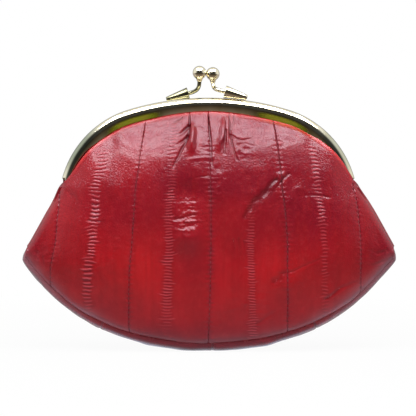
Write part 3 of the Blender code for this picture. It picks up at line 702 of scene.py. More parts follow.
def grid_mesh(name, points, flip=False):
    """A mesh from a grid of points."""
    rows, columns = points.shape[:2]
    index = np.arange(rows * columns).reshape(rows, columns)
    around = [index[:-1, :-1], index[1:, :-1], index[1:, 1:], index[:-1, 1:]]
    if flip:
        around.reverse()
    quads = np.stack(around, axis=-1).reshape(-1, 4)
    mesh = bpy.data.meshes.new(name)
    mesh.vertices.add(rows * columns)
    mesh.vertices.foreach_set("co", points.reshape(-1, 3).astype(np.float32).ravel())
    mesh.loops.add(quads.size)
    mesh.loops.foreach_set("vertex_index", quads.ravel().astype(np.int32))
    mesh.polygons.add(len(quads))
    mesh.polygons.foreach_set("loop_start", np.arange(0, quads.size, 4, dtype=np.int32))
    mesh.update(calc_edges=True)
    mesh.validate()
    mesh.shade_smooth()
    return mesh


def from_bmesh(name, bm):
    mesh = bpy.data.meshes.new(name)
    bm.to_mesh(mesh)
    bm.free()
    return mesh


def outward(mesh):
    bm = bmesh.new()
    bm.from_mesh(mesh)
    bmesh.ops.recalc_face_normals(bm, faces=bm.faces)
    for face in bm.faces:
        face.smooth = True
    for edge in bm.edges:
        if len(edge.link_faces) == 2 and edge.calc_face_angle(0) > SHARP_ANGLE:
            edge.smooth = False
    bm.to_mesh(mesh)
    bm.free()
    return mesh


def lofted(name, rings):
    """A closed solid through rings of points."""
    rings = np.array(rings)
    count, around = rings.shape[:2]
    index = np.arange(count * around).reshape(count, around)
    following = np.roll(index, -1, axis=1)
    quads = np.stack((index[:-1], following[:-1], following[1:], index[1:]), axis=-1).reshape(-1, 4)
    mesh = bpy.data.meshes.new(name)
    faces = [*quads.tolist(), index[0].tolist(), index[-1][::-1].tolist()]
    mesh.from_pydata(rings.reshape(-1, 3).tolist(), [], faces)
    return outward(mesh)


def add(name, mesh, look):
    obj = bpy.data.objects.new(name, mesh)
    bpy.context.scene.collection.objects.link(obj)
    mesh.materials.append(look)
    return obj


def paint(mesh, **layers):
    """Numbers per point, which the materials read by their layers' names."""
    for name, values in layers.items():
        layer = mesh.attributes.new(name, "FLOAT", "POINT")
        layer.data.foreach_set("value", np.asarray(values, np.float32).ravel())


def bend(obj, shares):
    """Lays a sheet's points out by its shares, bakes its transform, and puts the points back in their place.
    """
    mesh = obj.data
    placed = np.empty(len(mesh.vertices) * 3, np.float32)
    mesh.vertices.foreach_get("co", placed)
    laid_out = np.zeros((len(mesh.vertices), 3), np.float32)
    laid_out[:, 2] = np.asarray(shares).ravel()
    mesh.vertices.foreach_set("co", laid_out.ravel())
    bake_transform(obj)
    mesh.vertices.foreach_set("co", placed)
    mesh.update()


def soft_piece(mesh, look, node, thickness, half=None, shares=None):
    """A piece with its thickness inwards, which rides the bag, or, given a frame half, goes through bend with
    its shares and is left unattached.
    """
    obj = add(mesh.name, mesh, look)
    if half:
        bend(obj, shares)
    else:
        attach(obj, "bag")
    solid = obj.modifiers.new("thickness", "SOLIDIFY")
    solid.thickness = thickness
    solid.offset = -1
    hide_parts(node)
    return obj


# Panels


def fanned(x_top):
    """Where a column that starts at x_top on the upper edge ends on the bottom seam."""
    share = np.abs(x_top) / PANEL_HALF_WIDTH
    spread = STRIP_FAN * np.sin(np.pi * share) ** 0.9 * (1 - 0.55 * share**3)
    return x_top + np.sign(x_top) * spread


def panel_plane(x_top, share):
    """x and z of a panel's points: share runs from the bottom seam to the upper edge."""
    x_base = fanned(x_top)
    sway = 1.0 * MM * np.sin(math.pi * np.clip(share, 0, 1)) * bell(x_base, 14 * MM)
    x = x_base + (x_top - x_base) * share**FAN_POWER
    low = base_edge(x_base) + 0.1 * MM
    return x + sway, low + (top_edge(x_top) - low) * share


def follow(x, z):
    """A share from 0 to 1 for each point of the leather: how far it would follow its frame half as it opens.
    """
    reach = np.maximum(top_edge(x) - HINGE_HEIGHT, FOLLOW_LEAST)
    height = z - HINGE_HEIGHT
    share = (height + FOLLOW_START_SHARE * reach) / ((FOLLOW_START_SHARE + FOLLOW_END_SHARE) * reach)
    beyond = smoothstep(np.abs(x), ARCH_END_X - 0.2 * MM, ARCH_END_X + 3.5 * MM)
    return np.clip(share, 0, 1) * (1 - beyond)


def turned_up(x_top, step_share):
    """The leather above a panel's upper edge: up into the channel, or curled in over its lip."""
    across = np.abs(x_top)
    angle = np.interp(across, MOUTH[:, 0], ARCH_ANGLES)
    inset = np.interp(across, MOUTH[:, 0], MOUTH_INSETS)
    length = np.maximum(inset - CHANNEL_CLEARANCE, 0) * step_share
    gripped = (1 - smoothstep(across, GRIP_START, GRIP_END))[..., None]
    rise = np.stack((np.sin(angle) * np.sign(x_top), 0 * angle, np.cos(angle)), axis=-1)
    turn = step_share * math.pi * 0.6
    curl = rise * (TURNED_EDGE * np.sin(turn))[..., None] * 0.35
    curl[..., 1] -= TURNED_EDGE * (1 - np.cos(turn)) * 0.7
    return rise * length[..., None] * gripped + curl * (1 - gripped)


def panel_points(x_top, share, seed, seams):
    """Points of the leather's outer face in the panel's own coordinates, their ladders, and the shade painted
    in their creases.
    """
    x, z = panel_plane(x_top, np.minimum(share, 1))
    calm = smoothstep(top_edge(x) - z, 0.2 * MM, 2.2 * MM)
    height, ladder, creased = relief(x, z, x_top, seed)
    height = height * (0.35 + 0.65 * calm)
    for seam in seams:
        height += seam_relief(np.abs(x_top - seam), z, seed + int(seam / MM)) * (0.3 + 0.7 * calm)
    point = off_belly(x, z, height)
    low, _ = distance(np.abs(x), z, LOWER)
    side, _ = distance(np.abs(x), z, SIDE_LINE)
    point[..., 1] -= rolled(np.abs(low), HEM_ROUND) + rolled(np.abs(side), SIDE_HEM_ROUND)
    point += turned_up(x_top, np.maximum(share - 1, 0) * 4)
    return point, ladder, creased


def lopsided(point):
    """The bag hangs a little to the right above its corners, and its left side is drawn in."""
    x, z = point[..., 0], point[..., 2]
    upper = smoothstep(z, CORNER_BOTTOM - 5 * MM, CORNER_TOP + 3 * MM)
    inward = LEFT_DRAWN_IN * smoothstep(-x, 25 * MM, 52 * MM)
    aside = HUNG_ASIDE * smoothstep(np.abs(x), 12 * MM, 30 * MM)
    free = 1 - 0.65 * bell(z - HINGE_HEIGHT, 4 * MM)
    return np.stack((x + upper * free * (inward + aside), point[..., 1], z), axis=-1)


def in_place(point, side):
    """A panel's own coordinates as the frame's."""
    return lopsided(np.stack((-side * point[..., 0], side * point[..., 1], point[..., 2]), axis=-1))


def columns(left, right):
    """Upper x of a strip's columns: closer among the pleats, at the seams and over the ladders."""
    places = [left]
    while places[-1] < right:
        x = places[-1]
        to_spine = min(abs(x - line_x * MM) - half_width * MM for line_x, _, half_width, *_ in SPINES)
        if abs(x) < PLEATS_REACH:
            step = PLEAT_COLUMN
        elif min(x - left, right - x) < 1.2 * MM:
            step = SEAM_COLUMN
        else:
            step = LADDER_COLUMN if to_spine < 0.6 * MM else COLUMN
        places.append(x + step)
    places[-1] = right
    return np.array(places)


def leather_strips(face, look):
    """The six strips of one panel. The rear panel is the front one turned round, with its own grain."""
    side = SIDES[face]
    edges = (-PANEL_HALF_WIDTH, *SEAMS, PANEL_HALF_WIDTH)
    names = STRIP_NAMES if side == FRONT else STRIP_NAMES[::-1]
    for name, left, right in zip(names, edges, edges[1:]):
        rows = END_ROWS if name.endswith("end") else PANEL_ROWS[face]
        turned = 1 + np.arange(1, TURN_ROWS) / (TURN_ROWS - 1) / 4
        x_top, share = np.meshgrid(columns(left, right), np.concatenate((np.linspace(0, 1, rows), turned)))
        sewn = [s for s in (left, right) if s in SEAMS]
        point, ladder, creased = panel_points(x_top, share, GRAIN_SEEDS[face], sewn)
        x, z = point[..., 0], point[..., 2]
        mesh = grid_mesh(f"leather_{face}_{name}", in_place(point, side), flip=True)
        # Painted highlight: a bright orange-red line where the leather rolls into the frame
        rim = bell(top_edge(x) - z, BRIGHT_RIM) * (1 - smoothstep(np.abs(x), OVER_LIP_END, ARCH_END_X))
        by_seam = sum(bell(np.abs(x_top - s), SEAM_SHADE) for s in sewn)
        paint(
            mesh,
            # Painted shade in the creases
            crease=creased,
            # Painted highlight on the ladders' rungs, partly wear, and painted shade in the dips between them
            ridge=np.clip(ladder - 0.15, 0, 1),
            dip=np.clip(-2 * ladder, 0, 1),
            # Painted shade and light: darker and lighter patches
            dye=dye(x, z),
            # Painted reflection: grey-violet sheen along the bottom seam, most at the corners
            rubbed=worn_rim(x, z),
            edge=0.6 * rim,
            seam=by_seam * (0.6 + 0.4 * noise(share, x_top, 0.02, 9)),
        )
        node = f"{face}_strip_{name}"
        soft_piece(mesh, look, node, LEATHER, HALVES[face], follow(x, z))


def stitches(face, look):
    """The thread that shows in the seams, as short dashes sunk in their grooves."""
    side = SIDES[face]
    points, faces, shares = [], [], []
    for seam in SEAMS:
        length = float(top_edge(seam) - base_edge(fanned(seam)))
        starts = np.arange(STITCHES_START, length - STITCHES_END, STITCH_PITCH) / length
        ends = starts + STITCH_PITCH * STITCH_SHARE / length
        x_top = np.full_like(starts, seam)
        places = [panel_points(x_top, share, GRAIN_SEEDS[face], [seam])[0] for share in (starts, ends)]
        for start, end in in_place(np.stack(places, axis=1), side):
            middle = (start + end) / 2
            tube(points, faces, start, end, np.array((0, side, 0)) * STITCH_RADIUS * 0.6)
            shares += [float(follow(middle[0], middle[2]))] * (len(points) - len(shares))
    mesh = bpy.data.meshes.new(f"stitching_{face}")
    mesh.from_pydata(points, [], faces)
    mesh.shade_smooth()
    obj = add(mesh.name, mesh, look)
    bend(obj, shares)


def tube(points, faces, start, end, lift):
    """One stitch: a thin spindle from start to end, raised by lift at its middle."""
    rows = ((0, 0.25, -1.2), (0.12, 0.85, -0.2), (0.5, 1, 1), (0.88, 0.85, -0.2), (1, 0.25, -1.2))
    first = len(points)
    for share, thick, rise in rows:
        points += ring(start + (end - start) * share + lift * rise, end - start, STITCH_RADIUS * thick, 6)
    for low in range(first, len(points) - 6, 6):
        for i in range(6):
            j = (i + 1) % 6
            faces.append((low + i, low + j, low + 6 + j, low + 6 + i))


def panel_lining(face, look):
    """The cloth behind one panel's leather, which follows the leather's larger folds."""
    edge = PANEL_HALF_WIDTH - LINING_INSET
    x_top = np.linspace(-edge, edge, LINING_COLUMNS)
    x_top, share = np.meshgrid(x_top, np.linspace(*LINING_ENDS, LINING_ROWS))
    x, z = panel_plane(x_top, share)
    crumple = LINING_CRUMPLE * (noise(x, z, 9 * MM, 51) + noise(x, z, 4 * MM, 52) - 1)
    drop = LEATHER + LINING_GAP - 0.9 * np.minimum(folds(x, z)[0] + lumps(x, z), 0) - crumple
    mesh = grid_mesh(f"lining_cloth_{face}", in_place(off_belly(x, z, -drop), SIDES[face]), flip=True)
    obj = soft_piece(mesh, look, f"lining_{face}", LINING, HALVES[face], follow(x, z))


# Gusset


def gusset_path():
    """The gusset's seam from the left hinge round the bottom to the right one.

    Returns its points, their outward normals and how far along it they are.
    """
    corner = line((68.8, 34.8), (68.8, 36.6), (68.8, 38.2))
    right = np.vstack((LOWER, corner, SIDE_LINE[::-1]))
    path = np.vstack((right[::-1] * (-1, 1), right[1:]))
    steps = np.concatenate(([0], np.cumsum(np.hypot(*np.diff(path, axis=0).T))))
    even = np.linspace(0, steps[-1], int(steps[-1] / GUSSET_STEP))[1:-1]
    path = np.stack([np.interp(even, steps, path[:, i]) for i in (0, 1)], axis=-1)
    kernel = np.hanning(11) / np.hanning(11).sum()
    padded = np.pad(np.gradient(path, axis=0), ((5, 5), (0, 0)), mode="edge")
    along = np.stack([np.convolve(padded[:, i], kernel, "valid") for i in (0, 1)], axis=-1)
    along /= np.linalg.norm(along, axis=-1, keepdims=True)
    return path, np.stack((along[:, 1], -along[:, 0]), axis=-1), even


def gusset_points(path, normal, spot, v, drop):
    """Points of the gusset, drop below its face: v crosses it from the rear seam, 0, to the front one, 1."""
    x, z = path[:, 0, None], path[:, 1, None]
    spot, v = spot[:, None], v[None, :]
    side = smoothstep(z, CORNER_BOTTOM + 0.5 * MM, CORNER_TOP + 5 * MM)
    wide = base_depth(x) - GUSSET_BASE_INSET
    wide = wide + (edge_depth(x, z) - GUSSET_SIDE_INSET - wide) * side
    near_hinge = smoothstep(z, HINGE_HEIGHT - 9 * MM, HINGE_HEIGHT)
    turn = np.pi * v
    off_middle = np.abs(1 - 2 * v)
    across = np.cos(turn) * (1 - side) + (1 - 2 * v) * side
    band = BASE_BAND * (1 - 0.6 * (np.abs(x) / PANEL_HALF_WIDTH) ** 2.2)
    dish = SIDE_DISH * (1 - 0.7 * near_hinge) * (1 - off_middle) ** 0.85
    out = band * np.sin(turn) ** 0.9 * (1 - side) - (dish - 0.5 * MM * np.sin(turn)) * side
    out = out - GUSSET_TUCK * (1 - near_hinge) * off_middle**10 + HINGE_ROOM * near_hinge
    ripple = noise(spot, v * 20 * MM, 7 * MM, 31) * 0.28 * MM
    ripple = ripple + noise(spot, v * 9 * MM, 3.4 * MM, 32) * 0.22 * MM * (0.35 + side)
    ripple = ripple + crinkle(spot + 0 * v, v * 20 * MM, 33) * 0.08 * MM * (0.4 + side)
    ripple = ripple * np.sin(turn) ** 0.5
    for seam in GUSSET_SEAMS:
        away = np.where(z < CORNER_BOTTOM, np.abs(x - seam), 1.0)
        ripple = ripple - 0.3 * MM * bell(away, 0.4 * MM) + 0.08 * MM * bell(away, 1.4 * MM)
    out = out + ripple - drop
    place = path[:, None, :] + normal[:, None, :] * out[..., None]
    point = np.stack((place[..., 0], wide * across, np.maximum(place[..., 1], drop)), axis=-1)
    return lopsided(point), ripple


def gusset(look):
    """The four pieces of the strip between the panels, which folds in at the sides."""
    path, normal, spot = gusset_path()
    v = np.linspace(0, 1, GUSSET_COLUMNS)
    point, ripple = gusset_points(path, normal, spot, v, 0.0)
    quarter = len(path) // 4
    seams = quarter + np.searchsorted(path[quarter:-quarter, 0], GUSSET_SEAMS)
    cuts = (0, *seams, len(path) - 1)
    for name, start, end in zip(GUSSET_NAMES, cuts, cuts[1:]):
        piece = slice(start, end + 1)
        x, z = path[piece, 0, None], path[piece, 1, None]
        to_corner = smoothstep(np.abs(x), 30 * MM, 66 * MM)
        low = 1 - smoothstep(z, CORNER_BOTTOM, CORNER_TOP)
        mesh = grid_mesh(f"gusset_leather_{name}", point[piece])
        paint(
            mesh,
            # Painted shade: darker in the hollows of the ripples and towards the seams
            crease=np.clip(-ripple[piece] / (0.5 * MM) + 0.45 * np.abs(1 - 2 * v) ** 6, 0, 1),
            # Painted shade: the gusset a little darker than the panels
            dye=dye(point[piece, :, 0], point[piece, :, 2]) + 0.1,
            # Painted reflection: grey-violet sheen on the gusset, most at the corners
            rubbed=(0.35 + 0.65 * to_corner) * low * bell(1 - 2 * v, 0.55 + 0.55 * to_corner),
        )
        soft_piece(mesh, look, f"gusset_{name}", LEATHER)


def gusset_lining(look):
    path, normal, spot = (values[GUSSET_LINING_CUT:-GUSSET_LINING_CUT] for values in gusset_path())
    point, _ = gusset_points(path, normal, spot, np.linspace(*GUSSET_LINING_ENDS, 26), GUSSET_LINING_DROP)
    mesh = grid_mesh("lining_cloth_gusset", point[::2])
    obj = soft_piece(mesh, look, "lining_gusset", LINING)


# Metal


def channel_section(depth):
    """The channel's wall as (across, inset) points, round from the split face over the crown to the lip."""
    wide, wall, crown, edge = CHANNEL_WIDTH, SHEET_THICKNESS, CROWN_RADIUS, LIP_ROUND
    down = math.pi / 2
    points = arc((edge, depth - edge), edge, down, math.pi, 4)
    points += [(0, depth / 2)]
    points += arc((2 * edge, 2 * edge), 2 * edge, math.pi, 1.5 * math.pi, 5)
    points += [(wide / 3, 0)]
    points += arc((wide - crown, crown), crown, -down, 0, 12)
    for share in np.linspace(0.1, 0.93, 8):
        points.append((wide - LIP_LEAN * share**2, crown + (depth - crown) * share))
    lip = wide - LIP_LEAN - edge
    points += arc((lip, depth - edge), edge, 0, down, 4)
    points += [(lip - wall + 2 * edge, depth), (wide - wall - LIP_LEAN / 4, depth / 2)]
    points += arc((wide - crown, crown), crown - wall, 0, -down, 6)
    points += [(wall, wall), (wall, depth - edge)]
    return points


def lathed(name, profile, place, axis, sides):
    """A solid of revolution from (radius, height) points, which starts and ends on its own axis."""
    bm = bmesh.new()
    rings = []
    for radius, height in profile:
        around = circle(radius, even_turns(sides)) if radius > 0 else [(0, 0)]
        rings.append([bm.verts.new((x, y, height)) for x, y in around])
    for low, high in zip(rings, rings[1:]):
        for i in range(sides):
            j = (i + 1) % sides
            corners = [low[i % len(low)], low[j % len(low)], high[j % len(high)], high[i % len(high)]]
            bm.faces.new(list(dict.fromkeys(corners)))
    mesh = from_bmesh(name, bm)
    turn = Vector(axis).to_track_quat("Z", "Y").to_matrix().to_4x4()
    mesh.transform(Matrix.Translation(Vector(place)) @ turn)
    return outward(mesh)


def metal_piece(mesh, look, body, node):
    obj = add(mesh.name, mesh, look)
    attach(obj, body)
    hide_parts(node)
    return obj


def channel_mesh(side):
    rings = []
    for angle in np.concatenate((-ARCH_ANGLES[:0:-1], ARCH_ANGLES)):
        section = channel_section(by_reach(angle, CHANNEL_DEPTHS))
        places = [(across, *arch_point(angle, inset)) for across, inset in section]
        rings.append([(x, side * (SPLIT_GAP / 2 + across), z) for across, x, z in places])
    return lofted("channel", rings)


def ear_mesh(side, end):
    """An ear of sheet metal: a round end about the hinge axis whose neck leans over to the channel."""
    outer = ARCH_END_X - EAR_INSET - (EAR_THICKNESS + EAR_GAP if side == REAR else 0)
    near, far = SPLIT_GAP / 2 + EAR_MARGIN, SPLIT_GAP / 2 + CHANNEL_WIDTH - EAR_MARGIN
    start = math.acos(near / EAR_RADIUS)
    turns = np.linspace(start, 2 * math.pi, 40)
    edge = circle(EAR_RADIUS, turns) + [(far, CHANNEL_END_RISE), (far, EAR_HEIGHT), (near, EAR_HEIGHT)]
    hole = circle(RIVET_HOLE_RADIUS, [*turns, 0.15, start / 2, start * 0.8])
    bm = bmesh.new()
    loops = []
    for x in (outer - EAR_THICKNESS, outer):
        for outline in (edge, hole):
            loops.append([bm.verts.new((end * x, side * y, HINGE_HEIGHT + z)) for y, z in outline])
    edge_in, hole_in, edge_out, hole_out = loops
    for a, b in ((edge_in, edge_out), (edge_out, hole_out), (hole_out, hole_in), (hole_in, edge_in)):
        for i in range(len(a)):
            j = (i + 1) % len(a)
            bm.faces.new((a[i], a[j], b[j], b[i]))
    return outward(from_bmesh("ear", bm))


def joined(name, meshes):
    bm = bmesh.new()
    for mesh in meshes:
        bm.from_mesh(mesh)
        bpy.data.meshes.remove(mesh)
    return from_bmesh(name, bm)


def knob_layout(side, end):
    """Wide and narrow ends of the ferrule, its axis and the ball's centre."""
    middle_x = end * FERRULE_OFFSET - CLASP_SHIFT + FERRULE_SHIFT[end]
    lean = math.asin(middle_x / TOP_RADIUS)
    seat = arch_point(lean, 0)
    normal = Vector((math.sin(lean), 0, math.cos(lean)))
    inward = -end * Vector((math.cos(lean), 0, -math.sin(lean)))
    taper = math.atan((FERRULE_WIDE_RADIUS - FERRULE_NARROW_RADIUS) / FERRULE_LENGTH)
    axis = inward * math.cos(taper) + normal * math.sin(taper)
    lift = (FERRULE_WIDE_RADIUS + FERRULE_NARROW_RADIUS) / 2 / math.cos(taper) + FERRULE_SEAT[end]
    middle = Vector((seat[0], side * (SPLIT_GAP + CHANNEL_WIDTH) / 2, seat[1])) + normal * lift
    ball_x = end * (BALL_DIAMETER + BALL_GAP) / 2 - CLASP_SHIFT
    ball = Vector((ball_x, -side * BALL_CROSSING, HINGE_HEIGHT + ARCH_RISE + BALL_RISE - BALL_DROP[end]))
    return middle + axis * FERRULE_LENGTH / 2, middle - axis * FERRULE_LENGTH / 2, axis, ball


def ferrule_mesh(name, narrow, axis):
    """The tapered sleeve, with a crisp rim and a dished mouth."""
    big, small, edge = FERRULE_WIDE_RADIUS, FERRULE_NARROW_RADIUS, FERRULE_EDGE
    length = FERRULE_LENGTH
    mouth = length - FERRULE_DISH
    profile = [(0, 0), (small - edge, 0), (small - 0.3 * edge, 0.3 * edge), (small, edge)]
    profile += [(small + (big - small) * t, length * t) for t in (0.25, 0.5, 0.75, 0.96)]
    profile += [(big, length - edge), (big - 0.3 * edge, length - 0.3 * edge), (big - edge, length)]
    profile += [(big - 3 * edge, mouth), (STEM_DIAMETER / 2, mouth), (0, mouth)]
    return lathed(name, profile, narrow, axis, FERRULE_SIDES)


def ball_mesh(name, centre):
    """The knob: a ball on a short flared collar."""
    radius, neck = BALL_DIAMETER / 2, STEM_DIAMETER / 2
    turns = np.linspace(math.pi - math.asin(COLLAR_RADIUS / radius), 0, 40)
    foot = -math.sqrt(radius**2 - COLLAR_RADIUS**2)
    profile = [(0, foot - COLLAR_HEIGHT), (neck + 0.05 * MM, foot - COLLAR_HEIGHT)]
    profile += [(neck + 0.2 * MM, foot - COLLAR_HEIGHT * 0.85)]
    profile += [(COLLAR_RADIUS * 0.84, foot - COLLAR_HEIGHT * 0.3)]
    profile += [(radius * math.sin(t), radius * math.cos(t)) for t in turns[:-1]] + [(0, radius)]
    return lathed(name, profile, centre, (0, 0, 1), BALL_SIDES)


def stem_mesh(name, wide, axis, ball):
    """The knob's wire, which bends up from the ferrule's mouth to the ball."""
    foot = ball - Vector((0, 0, BALL_DIAMETER / 2))
    pulls = (wide + axis * STEM_BEND, foot - Vector((0, 0, STEM_BEND)))
    path = [wide - axis * 2 * FERRULE_DISH]
    for t in np.linspace(0, 1, 30):
        back = 1 - t
        path.append(wide * back**3 + pulls[0] * 3 * back**2 * t + pulls[1] * 3 * back * t**2 + foot * t**3)
    path.append(foot + Vector((0, 0, 0.5 * MM)))
    rings = []
    for i, point in enumerate(path):
        along = path[min(i + 1, len(path) - 1)] - path[max(i - 1, 0)]
        rings.append(ring(np.array(point), np.array(along), STEM_DIAMETER / 2, STEM_SIDES))
    return lofted(name, rings)


def tarnish(point):
    """How strongly a green reflection is painted on the plating: near the leather, on the channel's
    shoulders.
    """
    top, shoulder, join = arch_centres()
    across = abs(point.x)
    aside = math.atan2(across - shoulder[0], point.z - shoulder[1]) > join
    centre, radius = (shoulder, SHOULDER_RADIUS) if aside else (top, TOP_RADIUS)
    inset = radius - math.hypot(across - centre[0], point.z - centre[1])
    shoulders = smoothstep(across, 14 * MM, 24 * MM) * (1 - smoothstep(across, 31 * MM, 42 * MM))
    return float(shoulders * smoothstep(inset, 2.7 * MM, 4.0 * MM) * (0.4 if point.y > 0 else 1.0))


def dulled(point):
    """How much dark reflection is painted on the plating, as a greyer colour: on the frame's legs, more so on
    the left one.
    """
    left = smoothstep(-point.x, 39 * MM, 46 * MM)
    right = 0.6 * smoothstep(point.x, 41 * MM, 46 * MM)
    return float(max(left, right) * smoothstep(point.z, HINGE_HEIGHT + 2 * MM, HINGE_HEIGHT + 12 * MM))


def frame_half(face, end, look):
    """A half of the frame, with its ferrule, stem and knob, which stand at one end."""
    side, body = SIDES[face], HALVES[face]
    parts = [channel_mesh(side), ear_mesh(side, LEFT), ear_mesh(side, RIGHT)]
    obj = metal_piece(joined(f"frame_{face}_channel", parts), look, body, f"frame_{face}")
    places = [vertex.co for vertex in obj.data.vertices]
    # Painted green reflection on the channel's shoulders, and painted dark reflection on the legs
    paint(obj.data, tarnish=[tarnish(place) for place in places], dull=[dulled(place) for place in places])
    wide, narrow, axis, ball = knob_layout(side, end)
    sleeve = ferrule_mesh(f"ferrule_{face}_sleeve", narrow, axis)
    wire = stem_mesh(f"stem_{face}_wire", wide, axis, ball)
    for mesh, node in ((sleeve, f"ferrule_{face}"), (wire, f"knob_stem_{face}")):
        metal_piece(mesh, look, body, node)
        # Painted dark reflection on the rear knob, whose plating is also rougher
        paint(mesh, dull=[KNOB_DULLNESS[face]] * len(mesh.vertices))
    metal_piece(ball_mesh(f"ball_{face}_bead", ball), look, body, f"knob_ball_{face}")


def rivet(name, end, look):
    inner = ARCH_END_X - EAR_INSET - 2 * EAR_THICKNESS - 2 * EAR_GAP
    outer = ARCH_END_X - EAR_INSET + EAR_GAP
    head, thick, shank = RIVET_HEAD_RADIUS, RIVET_HEAD_THICKNESS, RIVET_RADIUS
    turns = np.linspace(math.pi / 2, 0, 8)
    dome = [(head * math.sin(t), outer + thick * (0.2 + 0.8 * math.cos(t))) for t in turns]
    profile = [(0, inner - thick), (head * 0.85, inner - thick), (head, inner - thick * 0.7)]
    profile += [(head, inner), (shank, inner), (shank, outer), (head, outer), *dome[:-1], (0, outer + thick)]
    mesh = lathed(f"rivet_{name}_pin", profile, (0, 0, HINGE_HEIGHT), (end, 0, 0), RIVET_SIDES)
    metal_piece(mesh, look, "bag", f"hinge_rivet_{name}")


# Materials


class Nodes:
    """Shader nodes of one tree. Inputs are numbers or the outputs of other nodes."""

    def __init__(self, tree):
        self.tree = tree

    def node(self, kind, **inputs):
        made = self.tree.nodes.new(kind)
        for socket, value in inputs.items():
            self.set(made.inputs[socket.replace("_", " ")], value)
        return made

    def set(self, socket, value):
        if isinstance(value, bpy.types.NodeSocket):
            self.tree.links.new(value, socket)
        else:
            socket.default_value = value

    def remap(self, value, low, high, to_low, to_high, smooth=False):
        ends = {"From_Min": low, "From_Max": high, "To_Min": to_low, "To_Max": to_high}
        made = self.node("ShaderNodeMapRange", Value=value, **ends)
        made.interpolation_type = "SMOOTHSTEP" if smooth else "LINEAR"
        return made.outputs[0]

    def math(self, operation, a, b=0.0):
        made = self.node("ShaderNodeMath")
        made.operation = operation
        self.set(made.inputs[0], a)
        self.set(made.inputs[1], b)
        return made.outputs[0]

    def spot(self):
        """Places on the object, in metres."""
        return self.node("ShaderNodeTexCoord").outputs["Object"]

    def blend(self, share, a, b):
        """One number passing into another."""
        made = self.node("ShaderNodeMix")
        made.data_type = "FLOAT"
        for socket, value in zip(made.inputs[:1] + made.inputs[2:4], (share, a, b)):
            self.set(socket, value)
        return made.outputs[0]


class Look(Nodes):
    """A node material that starts as one Principled shader."""

    def __init__(self, name, **sockets):
        self.material = bpy.data.materials.new(name)
        self.material.use_nodes = True
        super().__init__(self.material.node_tree)
        self.shader = self.tree.nodes["Principled BSDF"]
        self.feed(**sockets)

    def feed(self, **sockets):
        """Sets inputs of the shader."""
        for socket, value in sockets.items():
            self.set(self.shader.inputs[socket.replace("_", " ")], value)

    def noise(self, scale, detail=3.0, roughness=0.55, distortion=0.0):
        """Noise over the object, whose places in metres are multiplied by scale."""
        spot = self.node("ShaderNodeMapping", Vector=self.spot(), Scale=scale).outputs[0]
        sockets = {"Scale": 1.0, "Detail": detail, "Roughness": roughness, "Distortion": distortion}
        return self.node("ShaderNodeTexNoise", Vector=spot, **sockets).outputs["Fac"]

    def mix(self, share, a, b):
        """One colour passing into another."""
        made = self.node("ShaderNodeMix")
        made.data_type = "RGBA"
        self.set(made.inputs["Factor"], share)
        for socket, value in zip([s for s in made.inputs if s.type == "RGBA"], (a, b)):
            self.set(socket, value if isinstance(value, bpy.types.NodeSocket) else (*value, 1))
        return [s for s in made.outputs if s.type == "RGBA"][0]

    def layers(self, colour, *rows):
        """Colours laid over one another: each row is a share and a colour."""
        for share, over in rows:
            colour = self.mix(share, colour, over)
        return colour

    def painted(self, name, strength=None):
        made = self.node("ShaderNodeAttribute")
        made.attribute_name = name
        value = made.outputs["Fac"]
        return value if strength is None else self.math("MULTIPLY", value, strength)

    def bump(self, height, distance, strength=1.0):
        made = self.node("ShaderNodeBump", Height=height, Distance=distance, Strength=strength)
        self.feed(Normal=made.outputs[0])


def leather_look():
    look = Look("eel_leather", Roughness=0.2, Specular_IOR_Level=0.36, Specular_Tint=(1.0, 0.84, 0.98, 1))
    look.feed(Coat_Weight=0.16, Coat_Roughness=0.08)
    patches = look.noise((75, 75, 40), 3.0, 0.6, 0.4)
    streaks = look.noise((420, 420, 30), 2.0, 0.6)
    mottle = look.noise((520, 520, 520), 4.0, 0.65)
    crease = look.painted("crease")
    colour = look.layers(
        look.mix(look.remap(patches, 0.36, 0.62, 0, 1), (0.24, 0.0055, 0.007), (0.33, 0.0075, 0.009)),
        # Painted shade and light: darker and lighter patches over the leather
        (look.remap(look.painted("dye"), 0, 1, 0, 0.9), (0.12, 0.0035, 0.0095)),
        (look.remap(streaks, 0.45, 0.7, 0, 0.4), (0.18, 0.0045, 0.006)),
        (look.remap(mottle, 0.5, 0.75, 0, 0.35), (0.29, 0.010, 0.012)),
        # Lighter rungs, partly wear and partly painted highlight, and painted shade in the dips
        (look.painted("ridge", 0.75), (0.42, 0.06, 0.075)),
        (look.painted("dip", 0.8), (0.085, 0.005, 0.009)),
        (look.painted("seam", 0.6), (0.12, 0.009, 0.018)),
        # Painted shade: dark colour in the creases, which are also rougher
        (crease, (0.055, 0.002, 0.004)),
        # Painted highlight: a bright orange-red line along the leather's upper edge
        (look.painted("edge"), (0.50, 0.03, 0.025)),
        # Painted reflection: grey-violet sheen along the bottom and at the corners
        (look.painted("rubbed", 0.8), (0.26, 0.17, 0.20)),
    )
    look.feed(Base_Color=colour, Roughness=look.blend(crease, look.remap(mottle, 0.3, 0.7, 0.11, 0.26), 0.4))
    # Fine wrinkles, which are deeper in some places than in others
    worn = look.remap(look.noise((110, 110, 90), 2.0, 0.5), 0.45, 0.65, 0.15, 1)
    crumple = look.math("MULTIPLY", look.noise((420, 420, 520), 4.0, 0.6, 0.5), worn)
    sharp = look.math("SUBTRACT", look.noise((700, 700, 1100), 3.0, 0.55, 0.3), 0.5)
    creases = look.math("MULTIPLY", look.math("ABSOLUTE", sharp), worn)
    height = look.math("ADD", crumple, look.math("MULTIPLY", creases, 1.2))
    height = look.math("ADD", height, look.noise((1500, 1500, 1500), 2.0, 0.6))
    look.bump(height, 0.12 * MM)
    return look.material


